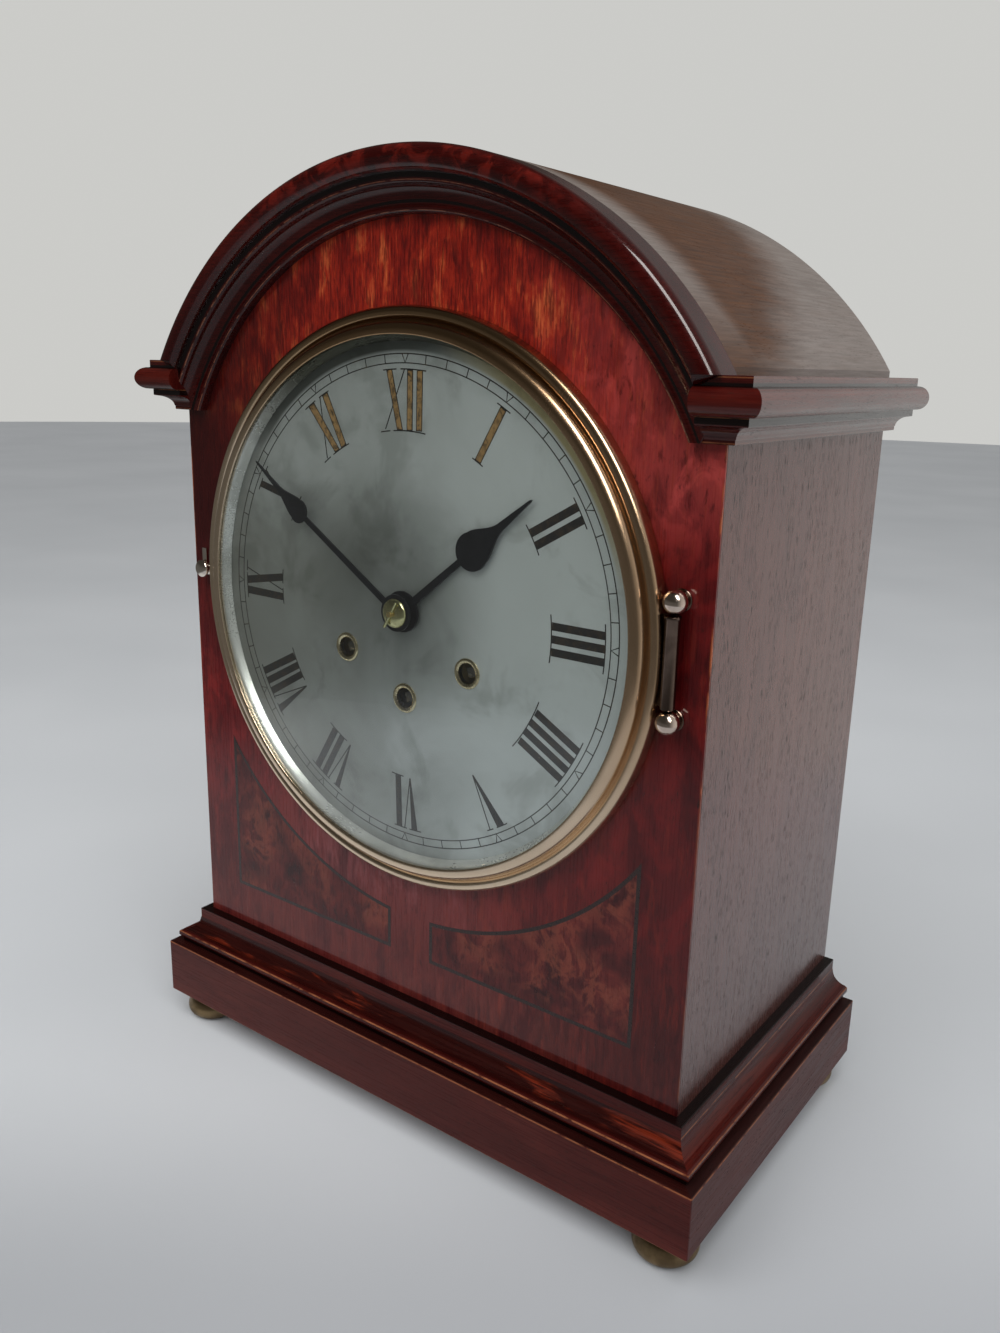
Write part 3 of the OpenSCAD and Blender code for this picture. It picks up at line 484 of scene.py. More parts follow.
def front_tweak(g, col):
    """flame figure in the arch, plum red below with dark flecks, browner near the bottom"""
    z = g.axis(2)
    x = g.axis(0)
    v = g.coords((1, 1, 0.50), (4.2, 0, 1.3))
    fl = g.math("MULTIPLY_ADD", g.noise(v, 96, 5, 0.62, 0.30), 0.66, g.math("MULTIPLY", g.noise(g.coords((1, 1, 0.10), (3, 0, 8)), 900, 4, 0.65), 0.34))
    orange = g.ramp(fl, [(0.32, (0.056, 0.0032, 0.0026)), (0.44, (0.175, 0.0080, 0.0044)), (0.54, (0.330, 0.0220, 0.0085)), (0.66, (0.66, 0.135, 0.040))])
    streak = g.span(g.noise(g.coords((1, 1, 0.30), (9, 0, 2)), 135, 4, 0.6, 0.6), 0.52, 0.66)
    orange = g.mix(g.math("MULTIPLY", streak, 0.60), orange, (0.034, 0.0036, 0.0036))
    thread = g.span(g.noise(g.coords((1, 1, 0.10), (2, 0, 5)), 1500, 2, 0.5), 0.52, 0.60)
    orange = g.mix(g.math("MULTIPLY", thread, 0.55), orange, (0.026, 0.0030, 0.0030))
    up = g.span(z, 0.288, 0.335)
    # brown, less red wood near the bottom
    low = g.math("MULTIPLY", g.span(z, 0.070, 0.160, 1.0, 0.0), g.span(x, -0.05, 0.09, 0.62, 0.85))
    col = g.mix(low, col, g.ramp(g.noise(g.coords((1, 1, 0.12), (2, 1, 4)), 420, 4, 0.6), [(0.3, (0.040, 0.0088, 0.0078)), (0.7, (0.125, 0.029, 0.0225))]))
    # dark flecks
    fleck = g.span(g.noise(g.coords((1, 1, 0.45), (8, 2, 6)), 300, 4, 0.62, 0.4), 0.56, 0.70)
    cloud = g.span(g.noise(g.coords((1, 1, 0.6), (6, 2, 1)), 30, 3, 0.5), 0.42, 0.66)
    col = g.mix(g.math("MULTIPLY", fleck, g.math("MULTIPLY_ADD", cloud, 0.45, 0.30)), col, (0.026, 0.0040, 0.0052))
    col = g.mix(g.math("MULTIPLY", cloud, 0.30), col, (0.050, 0.0050, 0.0072))
    blotch = g.span(g.noise(g.coords((1, 1, 0.7), (12, 0, 3)), 62, 4, 0.62, 0.8), 0.46, 0.64)
    col = g.mix(g.math("MULTIPLY", blotch, g.span(z, 0.095, 0.160, 0.06, 0.50)), col, (0.235, 0.0190, 0.0190))
    warm = g.math("MULTIPLY", g.span(z, 0.270, 0.310), g.span(x, 0.030, 0.090))
    col = g.mix(g.math("MULTIPLY", warm, g.span(blotch, 0.0, 1.0, 0.34, 0.74)), col, (0.440, 0.0640, 0.0580))
    pale = g.math("MULTIPLY", g.span(z, 0.085, 0.120), g.span(g.math("ABSOLUTE", g.math("ADD", x, 0.02), 0), 0.030, 0.085, 1.0, 0.0))
    grain = g.span(g.noise(g.coords((1, 1, 0.12), (5, 0, 9)), 520, 4, 0.62), 0.36, 0.62, 0.30, 1.0)
    pale = g.math("MULTIPLY", pale, g.math("MULTIPLY", grain, g.span(blotch, 0.0, 1.0, 0.45, 1.0)))
    col = g.mix(g.math("MULTIPLY", pale, g.span(z, 0.125, 0.165, 0.52, 0.0)), col, (0.250, 0.078, 0.085))
    # wine-dark mottling with lighter brown streaks along the grain
    mott = g.span(g.noise(g.coords((1, 1, 0.34), (14, 0, 2)), 105, 5, 0.62, 0.3), 0.47, 0.63)
    col = g.mix(g.math("MULTIPLY", mott, 0.58), col, (0.040, 0.0042, 0.0062))
    tan = g.span(g.noise(g.coords((1, 1, 0.14), (3, 0, 12)), 300, 4, 0.64), 0.54, 0.68)
    col = g.mix(g.math("MULTIPLY", tan, g.span(x, -0.05, 0.12, 0.16, 0.42)), col, (0.230, 0.034, 0.019))
    col = g.mix(g.math("MULTIPLY", g.math("MULTIPLY", warm, fleck), 0.75), col, (0.040, 0.0045, 0.0060))
    col = g.mix(g.math("MULTIPLY", up, g.span(x, 0.045, 0.120, 0.85, 0.18)), col, orange)
    # redder and darker to the lower right
    right = g.math("MULTIPLY", g.span(x, 0.030, 0.125), g.span(z, 0.275, 0.315, 1.0, 0.0))
    col = g.mix(g.math("MULTIPLY", right, 0.9), col, (0.52, 0.26, 0.27), "MULTIPLY")
    # deeper to the left of the arch
    left = g.math("MULTIPLY", g.span(x, -0.135, -0.030, 0.90, 0.0), g.span(z, 0.20, 0.27))
    col = g.mix(left, col, (0.020, 0.0018, 0.0018))
    return col


def front_worn(g):
    """orange rubbed vertical corners with small chips"""
    x = g.math("ABSOLUTE", g.axis(0), 0)
    e = g.span(x, 0.1391, 0.1399)
    n = g.span(g.noise(g.coords((1, 1, 0.25), (1, 2, 3)), 210, 4, 0.65), 0.40, 0.58)
    chip = g.span(g.noise(g.coords((1, 1, 0.4), (4, 2, 3)), 160, 3, 0.6), 0.64, 0.70)
    near_edge = g.span(x, 0.1372, 0.1390)
    n = g.math("MULTIPLY", n, g.span(g.axis(2), 0.170, 0.215, 0.22, 0.95))
    return [(g.math("MULTIPLY", e, n), (0.33, 0.085, 0.030)), (g.math("MULTIPLY", chip, near_edge), (0.010, 0.003, 0.003))]


def scaled(stops, k):
    return [(p, tuple(a * b for a, b in zip(c, k))) for p, c in stops]


def side_tweak(g, col):
    """warmer cloudy patches, and painted shade: darker towards the bottom"""
    z = g.axis(2)
    warm = g.span(g.noise(g.coords((1, 1, 0.5), (3, 7, 1)), 26, 3, 0.5, 0.6), 0.46, 0.68)
    col = g.mix(g.math("MULTIPLY", warm, 0.38), col, (0.120, 0.040, 0.026))
    # painted shade: darker towards the bottom
    low = g.span(z, 0.062, 0.19, 0.60, 0.0)
    return g.mix(low, col, (0.036, 0.011, 0.009))


def roof_painted_reflection(g, col):
    """painted reflection: a paler grey-tan sheen over most of the roof, and a slanting patch left brown where the
    reflection is dark
    """
    x, y, z = g.axis(0), g.axis(1), g.axis(2)
    n = g.noise(g.coords((1, 0.35, 1), (2, 5, 1)), 60, 4, 0.6, 0.4)
    d = g.math("MULTIPLY_ADD", n, 0.030, g.math("MULTIPLY_ADD", y, -0.65, g.math("SUBTRACT", z, 0.381)))
    patch = g.span(d, -0.016, 0.020)
    strip = g.math("MAXIMUM", g.span(y, -0.070, -0.046), g.span(z, 0.345, 0.385, 1.0, 0.0))
    patch = g.math("MULTIPLY", g.math("MULTIPLY", patch, strip), g.span(x, -0.120, 0.024))
    fib = g.noise(g.coords((1, 0.05, 1), (1, 2, 3)), 900, 4, 0.6)
    # painted reflection colours: the pale sheen and the brown patch
    pale = g.ramp(fib, [(0.3, (0.142, 0.122, 0.110)), (0.7, (0.236, 0.210, 0.194))])
    brown = g.ramp(fib, [(0.3, (0.036, 0.0110, 0.0020)), (0.7, (0.086, 0.0280, 0.0050))])
    painted_sheen = g.span(x, -0.060, 0.060, 0.30, 0.85)
    return g.mix(patch, g.mix(painted_sheen, col, pale), brown)


EDGE = (0.30, 0.108, 0.046)
RUST = (0.19, 0.022, 0.007)
M_FRONT = wood("front_wood", "Z", scaled(PLUM, (0.88, 0.95, 1.20)), 1.3, mottle=0.55, tweak=front_tweak, wear_and_shade=front_worn, coat=0.5, coat_rough=0.08, pore_amount=0.9)
M_SIDE = wood("side_wood", "Z", scaled(SIDE, (0.88, 0.70, 0.70)), 2.6, pore_amount=1.0, mottle=0.3, rough=(0.20, 0.30), coat=0.35, coat_rough=0.14, spec=0.62, tweak=side_tweak, dash_len=0.09, cut=(0.54, 0.60))
M_ROOF = wood("roof_wood", "Y", scaled(ROOFC, (1.15, 1.10, 0.95)), 4.1, mottle=0.5, coat=0.20, coat_rough=0.10, rough=(0.28, 0.42), spec=0.14, tweak=roof_painted_reflection)
M_ARCH = wood("arch_wood", "X", scaled(DARK, (0.66, 0.38, 0.44)), 5.2, mottle=0.5, pore_amount=0.3, coat=0.65, coat_rough=0.07, rough=(0.24, 0.34), spec=0.06, wear_and_shade=arch_wear_and_shade)
M_CORN_X = wood("cornice_wood_front", "X", scaled(DARK, (1.0, 0.8, 0.8)), 6.3, mottle=0.5, pore_amount=0.4, coat=0.6, coat_rough=0.05, spec=0.06,
                wear_and_shade=edge_wear_and_shade((344.9, 332.15, 323.6), 0.32, 0.45, EDGE, ((330.0, 332.0, 0.93), (342.0, 342.9, 0.93))))
# painted sheen: the side run is a lighter, greyer copy of the dark moulding colour
M_CORN_Y = wood("cornice_wood_side_painted_sheen", "Y", scaled(DARK, (2.4, 4.6, 4.6)), 7.4, mottle=0.35, coat=1.0, coat_rough=0.12, spec=0.3,
                wear_and_shade=edge_wear_and_shade((344.9, 332.15, 323.6), 0.30, 0.22, EDGE, ((329.7, 332.3, 0.97), (341.8, 343.0, 0.97)), None, "Y"))
M_BASE_X = wood("base_wood_front", "X", scaled(DARK, (1.0, 0.9, 0.9)), 8.5, mottle=0.5, coat=0.22, coat_rough=0.08,
                wear_and_shade=edge_wear_and_shade((48.15,), 0.36, 0.85, EDGE, ((42.0, 45.5, 0.93), (49.2, 55.7, 0.66), (60.95, 62.0, 0.93)), (50.0, 54.8, RUST, 0.60), "X"))
M_BASE_Y = wood("base_wood_side", "Y", scaled(DARK, (1.0, 0.9, 0.85)), 9.6, mottle=0.5, coat=0.28, coat_rough=0.10,
                wear_and_shade=edge_wear_and_shade((55.95, 48.15), 0.34, 0.55, EDGE, ((42.0, 45.5, 0.93), (60.95, 62.0, 0.93)), (50.0, 54.6, RUST, 0.15), "Y"))
M_PLINTH_X = wood("plinth_wood_front", "X", scaled(PLNT, (1.05, 0.82, 0.74)), 10.7, mottle=0.55, pore_amount=0.8, coat=0.08, coat_rough=0.16, spec=0.12,
                  wear_and_shade=edge_wear_and_shade((42.15, 13.7), 0.40, 0.7, EDGE, ((42.72, 44.0, 0.72),), None, "X"))
M_PLINTH_Y = wood("plinth_wood_side", "Y", scaled(PLNT, (1.0, 1.0, 1.0)), 11.8, mottle=0.4, pore_amount=0.8, coat=0.0, coat_rough=0.15, spec=0.20, rough=(0.34, 0.50),
                  wear_and_shade=edge_wear_and_shade((42.15, 13.7), 0.40, 0.6, EDGE, ((42.72, 44.0, 0.72),), None, "Y"))
M_PLAIN_X = wood("board_wood_x", "X", PLAIN, 12.2, mottle=0.35, coat=0.0, coat_rough=0.3, rough=(0.5, 0.65))
M_PLAIN_Z = wood("board_wood_z", "Z", PLAIN, 13.4, mottle=0.35, coat=0.15, coat_rough=0.3, rough=(0.42, 0.58))
M_DOOR = wood("door_wood", "Z", [(p, (c[0] * 1.2, c[1] * 1.3, c[2] * 1.3)) for p, c in PLNT], 14.1, mottle=0.3, coat=0.5, coat_rough=0.18)


def burr_material():
    """reddish burr with lighter golden veins drifting over it"""
    g = Graph("burr_veneer")
    soft_cloud = g.noise(g.coords((1, 1, 0.80), (2, 0, 5)), 72, 5, 0.62, 1.0)
    fibre = g.noise(g.coords((1, 1, 0.16), (7, 0, 1)), 520, 4, 0.6, 0.4)
    fac = g.math("MULTIPLY_ADD", soft_cloud, 0.72, g.math("MULTIPLY", fibre, 0.28))
    col = g.ramp(fac, [(0.34, (0.022, 0.0032, 0.0038)), (0.48, (0.054, 0.0068, 0.0070)), (0.60, (0.096, 0.0130, 0.0108)), (0.74, (0.160, 0.030, 0.020))])
    # veins: narrow bands around the middle of a strongly distorted noise
    vein = g.noise(g.coords((1, 1, 0.75), (9, 0, 4)), 82, 5, 0.62, 0.5)
    band = g.span(g.math("ABSOLUTE", g.math("SUBTRACT", vein, 0.5), 0), 0.0, 0.10, 1.0, 0.0)
    where = g.span(g.noise(g.coords((1, 1, 1), (1, 0, 7)), 30, 2, 0.5), 0.42, 0.60)
    col = g.mix(g.math("MULTIPLY", g.math("MULTIPLY", band, where), 0.34), col, (0.290, 0.072, 0.040))
    spots = g.span(g.noise(g.coords((1, 1, 0.55), (5, 1, 0)), 260, 3, 0.6), 0.62, 0.74)
    col = g.mix(g.math("MULTIPLY", spots, 0.5), col, (0.022, 0.0050, 0.0050))
    nrm = g.bump(fibre, 0.08, 0.0001)
    g.principled(Base_Color=col, Roughness=g.span(fibre, 0.3, 0.7, 0.24, 0.36), Normal=nrm, Coat_Weight=0.5, Coat_Roughness=0.1, Specular_IOR_Level=0.12)
    return g.mat


M_BURR = burr_material()


def string_material():
    g = Graph("stringing_wood")
    n = g.noise(g.coords((1, 1, 1)), 900, 4, 0.6)
    col = g.ramp(n, [(0.3, (0.007, 0.003, 0.003)), (0.7, (0.026, 0.010, 0.008))])
    g.principled(Base_Color=col, Roughness=g.span(n, 0.3, 0.7, 0.25, 0.38), Coat_Weight=0.8, Coat_Roughness=0.1, Specular_IOR_Level=0.12)
    return g.mat


M_STRING = string_material()

# ---------------------------------------------------------------- metals and glass
# painted reflection: the tones darken the bezel towards the upper right and the top
M_BEZEL = metal("bezel_brass", (0.86, 0.69, 0.51), (0.56, 0.42, 0.28), (0.20, 0.25), 0.22, 34, 1.0,
                painted_tones=(((0.62, 0.78), -0.010, 0.070, (0.66, 0.57, 0.49)), ((-0.10, 1.0), 0.060, 0.105, (0.68, 0.63, 0.55))))
# painted shade: a darkened copy of the brass for the hinge tube and ball flanges, standing in for the dark reflections
# on them
M_TUBE_SHADED = metal("hinge_tube_brass_painted_dark", (0.15, 0.108, 0.086), (0.05, 0.033, 0.026), (0.14, 0.24), 0.5, 160, 2.5)
M_HINGE = metal("hinge_brass", (0.74, 0.62, 0.53), (0.34, 0.25, 0.19), (0.10, 0.22), 0.4, 160, 2.0)
M_CATCH = metal("catch_brass", (0.82, 0.74, 0.66), (0.40, 0.32, 0.26), (0.12, 0.22), 0.3, 160, 3.0)
M_GROMMET = metal("grommet_brass", (0.80, 0.68, 0.44), (0.30, 0.21, 0.10), (0.15, 0.3), 0.5, 220, 4.0)
M_COLLET = metal("collet_brass", (0.70, 0.66, 0.36), (0.30, 0.24, 0.11), (0.14, 0.26), 0.5, 240, 5.0)
M_FEET = metal("feet_brass", (0.27, 0.19, 0.10), (0.09, 0.06, 0.035), (0.35, 0.55), 0.7, 80, 6.0)
M_HAND = metal("hand_steel", (0.016, 0.016, 0.020), (0.006, 0.006, 0.008), (0.28, 0.40), 0.6, 120, 7.0, 0.55)
M_BRASS = metal("movement_brass", (0.76, 0.58, 0.28), (0.50, 0.35, 0.16), (0.26, 0.38), 0.3, 38, 8.0)
M_STEEL = metal("movement_steel", (0.52, 0.52, 0.54), (0.26, 0.24, 0.23), (0.22, 0.38), 0.4, 90, 9.0)
M_SQUARE = metal("winding_square_steel", (0.16, 0.155, 0.15), (0.05, 0.045, 0.04), (0.25, 0.4), 0.5, 200, 10.0)
M_SCREW = metal("screw_steel", (0.45, 0.43, 0.42), (0.16, 0.14, 0.13), (0.25, 0.4), 0.5, 200, 10.0)
M_RODS = metal("gong_rod_metal", (0.60, 0.57, 0.50), (0.36, 0.31, 0.24), (0.2, 0.34), 0.3, 60, 11.0)


def iron_material():
    g = Graph("japanned_iron")
    n = g.noise(g.coords(), 420, 5, 0.65)
    col = g.ramp(n, [(0.3, (0.010, 0.010, 0.011)), (0.7, (0.032, 0.031, 0.030))])
    g.principled(Base_Color=col, Roughness=g.span(n, 0.3, 0.7, 0.35, 0.55), Normal=g.bump(n, 0.35, 0.0004))
    return g.mat


M_IRON = iron_material()


def silver_material(name, base, dark, light, rough=(0.34, 0.46), metallic=0.85, painted_light=0.0, painted_tones=()):
    """aged silvered brass: fine rubbed grain, cloudy patches and small spots; with an amount set, painted light and
    shade across the face
    """
    g = Graph(name)
    v = g.coords((1, 1, 1), (3, 0, 8))
    cloud = g.noise(v, 16, 5, 0.55, 0.6)
    rub = g.noise(g.coords((0.06, 1, 1), (1, 0, 2), (0, 0.35, 0)), 1500, 3, 0.5)
    spots = g.span(g.noise(v, 330, 3, 0.6), 0.70, 0.80)
    col = g.ramp(cloud, [(0.30, dark), (0.5, base), (0.72, light)])
    col = g.mix(g.math("MULTIPLY", spots, 0.35), col, (0.20, 0.19, 0.16))
    if painted_light:
        # painted light: darker to the left, lighter to the right and towards the top
        drift = g.math("MULTIPLY_ADD", cloud, 0.05, g.axis(0))
        col = g.mix(g.span(drift, -0.070, 0.070, painted_light, 0.0), col, (0.235, 0.235, 0.200))
        col = g.mix(g.span(drift, 0.015, 0.075, 0.0, painted_light), col, (0.78, 0.82, 0.81))
        lift = g.span(g.math("MULTIPLY_ADD", cloud, 0.04, g.math("SUBTRACT", g.axis(2), (DIAL_Z + 20) * MM)), 0.010, 0.070, 0.0, 0.5)
        col = g.mix(lift, col, (0.76, 0.79, 0.78))
    if painted_light:
        # painted shade in the middle of the dial
        mid_spot = g.span(g.radius((-0.008, (DIAL_Z + 4) * MM)), 0.018, 0.062, 0.62, 0.0)
        col = g.mix(mid_spot, col, (0.34, 0.345, 0.325), "MULTIPLY")
        # painted shade and reflection: the margin under the ring is dim at the top, with a painted brass reflection
        # beside it
        rim = g.span(g.radius((0, DIAL_Z * MM)), 0.1048, 0.1066)
        for a, b, lo, hi, tone in ((-0.32, 0.95, 0.078, 0.103, (0.045, 0.050, 0.040)), (0.70, 0.71, 0.085, 0.106, (0.50, 0.40, 0.17))):
            d = g.math("MULTIPLY_ADD", g.axis(0), a, g.math("MULTIPLY_ADD", g.axis(2), b, -b * DIAL_Z * MM))
            col = g.mix(g.math("MULTIPLY", rim, g.span(d, lo, hi, 0.0, 0.88)), col, tone)
    smoke = g.noise(g.coords((1, 1, 1), (7, 0, 3)), 34, 4, 0.62, 0.5)
    col = g.mix(g.span(smoke, 0.48, 0.66, 0.0, 0.55), col, (0.60, 0.60, 0.58), "MULTIPLY")
    col = painted_side_tone(g, col, painted_tones)
    r = g.math("MULTIPLY_ADD", rub, 0.08, g.span(cloud, 0.3, 0.7, rough[1], rough[0]))
    g.principled(Base_Color=col, Metallic=metallic, Roughness=r, Normal=g.bump(rub, 0.05, 0.00008))
    return g.mat


# painted light across the face (the 0.64 amount), and painted shade slightly darker towards the bottom
M_DIAL = silver_material("dial_silver", (0.455, 0.475, 0.465), (0.34, 0.36, 0.345), (0.60, 0.63, 0.625), (0.30, 0.40), 0.62, 0.64,
                         painted_tones=(((0.0, -1.0), -0.015, 0.055, (0.92, 0.92, 0.93)),))
# painted reflection: dark at the top, gold towards the upper right
M_RING = silver_material("ring_silver", (0.80, 0.80, 0.77), (0.64, 0.64, 0.60), (0.88, 0.88, 0.85), (0.20, 0.28), 0.70,
                         painted_tones=(((0.10, 1.0), 0.050, 0.092, (0.10, 0.10, 0.075)), ((0.85, 0.50), 0.040, 0.100, (0.70, 0.54, 0.30))))


def glass_material(name, tint=(0.97, 0.99, 0.985), rough=0.0):
    g = Graph(name)
    lw = g.new("LayerWeight")
    lw.inputs["Blend"].default_value = 0.5
    fac = g.math("MULTIPLY_ADD", g.math("POWER", lw.outputs["Facing"], 4.0), 0.9, 0.045)
    tr = g.new("BsdfTransparent")
    tr.inputs["Color"].default_value = (*tint, 1)
    gl = g.new("BsdfGlossy")
    gl.inputs["Roughness"].default_value = rough
    gl.inputs["Color"].default_value = (1, 1, 1, 1)
    mx = g.new("MixShader")
    g.link(fac, mx.inputs[0])
    g.link(tr.outputs[0], mx.inputs[1])
    g.link(gl.outputs[0], mx.inputs[2])
    g.link(mx.outputs[0], g.out.inputs["Surface"])
    return g.mat


M_GLASS = glass_material("dial_glass_clear")
M_PANE = glass_material("door_glass_clear", (0.93, 0.97, 0.95))


def wax_material(name, black, brown, amount):
    """worn wax filling of the engraved figures"""
    g = Graph(name)
    v = g.coords((1, 1, 1), (6, 0, 2))
    n = g.noise(v, 420, 4, 0.65, 0.6)
    col = g.ramp(n, [(0.5 - amount, black), (0.62 - amount * 0.5, brown)])
    chips = g.span(g.noise(g.coords((1, 1, 1), (1, 0, 9)), 700, 2, 0.5), 0.72, 0.78)
    col = g.mix(g.math("MULTIPLY", chips, 0.5), col, (0.35, 0.30, 0.22))
    g.principled(Base_Color=col, Roughness=g.span(n, 0.3, 0.7, 0.4, 0.6))
    return g.mat


M_WAX = wax_material("wax_black", (0.008, 0.007, 0.007), (0.030, 0.019, 0.012), 0.02)
# the gold-brown fill of the top figures is a painted reflection
M_FIG_REFLECTION = wax_material("figure_core_painted_reflection", (0.020, 0.012, 0.006), (0.26, 0.15, 0.055), 0.16)
M_LINE = wax_material("wax_line", (0.015, 0.014, 0.013), (0.06, 0.045, 0.03), 0.0)

# ---------------------------------------------------------------- case pieces
BASE_PROF = [(0, PLINTH_TOP), (11.4, PLINTH_TOP), (11.4, 45.3), (12.8, 45.7), (13.0, 46.2), (13.0, 47.7), (12.8, 48.25), (12.3, 48.5)] + \
    arc(12.3, 55.8, 7.5, 6.9, 266, 184, 16) + [(4.5, 56.2), (4.5, 60.9), (4.2, BASE_TOP), (0, BASE_TOP)]
CORN_PROF = [(0, CORNICE_Z), (4.4, CORNICE_Z), (4.6, 323.3), (4.6, 324.6)] + arc(10.9, 324.6, 6, 4.6, 174, 96, 14) + \
    [(11.7, 329.4), (11.9, 329.7), (11.9, 332.3)] + arc(13.3, 337.2, 4.9, 4.9, -90, 90, 28) + [(12.6, 342.2), (12.6, 345.3), (12.4, 345.5), (0, 345.5)]


def stations(sf, x_end=None, right=True):
    s = 1 if right else -1
    if x_end is None:
        return [lambda p: (-(HW + p), BACK), lambda p: (-(HW + p), FRONT - p * sf), lambda p: (HW + p, FRONT - p * sf), lambda p: (HW + p, BACK)]
    return [lambda p: (s * (HW + p), BACK), lambda p: (s * (HW + p), FRONT - p * sf), lambda p: (s * x_end, FRONT - p * sf)]


base = sweep("base_moulding_run", BASE_PROF, stations(1.02), [M_BASE_X, M_BASE_Y], [1, 0, 1], smooth=32, slot="base_moulding")
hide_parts("base_moulding")

for right in (False, True):
    side = "right" if right else "left"
    c = sweep("cornice_" + side, CORN_PROF, stations(0.91, BLOCK_X, right), [M_CORN_X, M_CORN_Y], [1, 0], smooth=32, slot="cornices")
    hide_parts("cornices")

# plinth: mitred frame
PL_PROF = [(0, 13.4), (0, PLINTH_TOP), (30.7, PLINTH_TOP), (30.7, 13.4)]
PX, PY = 156.7, 88.0
pl = sweep("plinth_frame", PL_PROF, [
    lambda p: (-(PX - p), PY - p * 28 / 30.7), lambda p: (-(PX - p), -(PY - p * 28 / 30.7)),
    lambda p: (PX - p, -(PY - p * 28 / 30.7)), lambda p: (PX - p, PY - p * 28 / 30.7)],
    [M_PLINTH_X, M_PLINTH_Y], [1, 0, 1, 0], closed=True, bevel=0.7, seg=3, slot="plinth")
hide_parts("plinth")

# feet
FOOT = [(0, 0), (8.0, 0)] + arc(8.5, 5.5, 5.5, 5.5, -85, 30, 14) + [(12.8, 9.6), (12.2, 10.4), (11.6, 11.2), (11.6, 13.3), (2.5, 13.3), (2.5, 21.4), (0, 21.4)]
feet = lathe("bun_feet", FOOT, (-140, -73, 0), [M_FEET], axis="Z", n=64, more=((140, -73, 0), (-140, 73, 0), (140, 73, 0)), smooth=35, slot="feet")
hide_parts("feet")

# side boards
sides = []
for s in (-1, 1):
    plan = [(130, -59), (139.2, -59), (139.2, -70.1), (140, -70.1), (140, 88), (130, 88)]
    v = [(s * x, y, PLINTH_TOP) for x, y in plan] + [(s * x, y, SPRING_Z) for x, y in plan]
    n = len(plan)
    f = [tuple(range(n)), tuple(range(2 * n - 1, n - 1, -1))] + [(i, (i + 1) % n, n + (i + 1) % n, n + i) for i in range(n)]
    o = make("side_board_" + ("right" if s > 0 else "left"), v, f, [M_SIDE], bevel=0.25, seg=2, slot="case_sides")
    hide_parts("case_sides")
    sides.append(o)


def arch_outline(r, x, z_low, n=96):
    """rectangle up to the arch of radius r about the roof's centre, cut at |x|"""
    zt = ROOF_Z + math.sqrt(r * r - x * x)
    a0 = math.degrees(math.acos(x / r))
    return [(x, z_low), (x, zt)] + [(r * cosd(a0 + (180 - 2 * a0) * i / n), ROOF_Z + r * sind(a0 + (180 - 2 * a0) * i / n)) for i in range(1, n)] + [(-x, zt), (-x, z_low)]


hole = circle(0, DIAL_Z, 100, 128)
front = prism("front_board", [
    ([arch_outline(156.85, 139.95, PLINTH_TOP), hole], -71, -70.15),
    ([arch_outline(156.85, 139.15, PLINTH_TOP), circle(0, DIAL_Z, 100.0, 128)], -70.15, -59)],
    [M_FRONT], bevel=0.35, seg=2, limit=50, slot="front_panel")
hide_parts("front_panel")

# veneered corner panels with their stringing
BURR_R = 143.2
xr, zb = 117.5, 82.6
zt_in = DIAL_Z - math.sqrt(BURR_R ** 2 - 11.7 ** 2)
zt_out = DIAL_Z - math.sqrt(BURR_R ** 2 - xr ** 2)
a_in = math.degrees(math.asin(11.7 / BURR_R))
a_out = math.degrees(math.asin(xr / BURR_R))
for s in (-1, 1):
    arcpts = [(BURR_R * sind(a_out + (a_in - a_out) * i / 48), DIAL_Z - BURR_R * cosd(a_out + (a_in - a_out) * i / 48)) for i in range(49)]
    loop = [(11.7, zb), (xr, zb)] + arcpts
    loop = [(s * x, z) for x, z in loop]
    if s < 0:
        loop = loop[::-1]
    inner = offset_loop(loop, 1.7)
    nm = "right" if s > 0 else "left"
    b = prism("burr_panel_" + nm, [([inner], -71.03, -70.6)], [M_BURR], slot="burr_panels")
    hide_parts("burr_panels")
    prism("stringing_" + nm, [([loop, inner], -71.05, -70.6)], [M_STRING], slot="burr_panels")

# roof board
a_o = math.degrees(math.acos(HW / ROOF_R))
a_i = math.degrees(math.acos(HW / (ROOF_R - ROOF_T)))
out_arc = [(ROOF_R * cosd(a_o + (180 - 2 * a_o) * i / 128), ROOF_Z + ROOF_R * sind(a_o + (180 - 2 * a_o) * i / 128)) for i in range(129)]
in_arc = [((ROOF_R - ROOF_T) * cosd(180 - a_i - (180 - 2 * a_i) * i / 128), ROOF_Z + (ROOF_R - ROOF_T) * sind(180 - a_i - (180 - 2 * a_i) * i / 128)) for i in range(129)]
roof = prism("roof_board", [([out_arc + in_arc], -70.9, 88)], [M_ROOF], smooth=30, slot="roof")
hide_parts("roof")

# arch moulding: each point of the profile follows its own arc down to its own stop
ARCH_PROF = [(ROOF_R, 0), (ROOF_R, 11.4)] + arc(ROOF_R - 4.9, 11.6, 4.9, 4.9, 0, 180, 28) + \
    [(155.0, 11.3), (154.6, 11.1), (152.7, 11.0), (152.3, 10.8), (152.1, 10.2)] + arc(145.7, 10.2, 5.8, 5.2, -6, -84, 14) + \
    [(145.5, 4.6), (144.7, 4.4)] + arc(143.3, 2.8, 1.9, 1.9, 60, 170, 10) + [(141.4, 0)]


def split_profile(prof, cuts):
    out = [prof[0]]
    for (r0, h0), (r1, h1) in zip(prof, prof[1:]):
        for c in sorted(cuts, reverse=r0 > r1):
            if (r0 - c) * (r1 - c) < 0:
                t = (c - r0) / (r1 - r0)
                h = h0 + (h1 - h0) * t
                e = 0.004 if r0 > r1 else -0.004
                out += [(c + e, h), (c - e, h)]
        out.append((r1, h1))
    return out


ARCH_PROF = split_profile(ARCH_PROF, (157.15, 146.3))


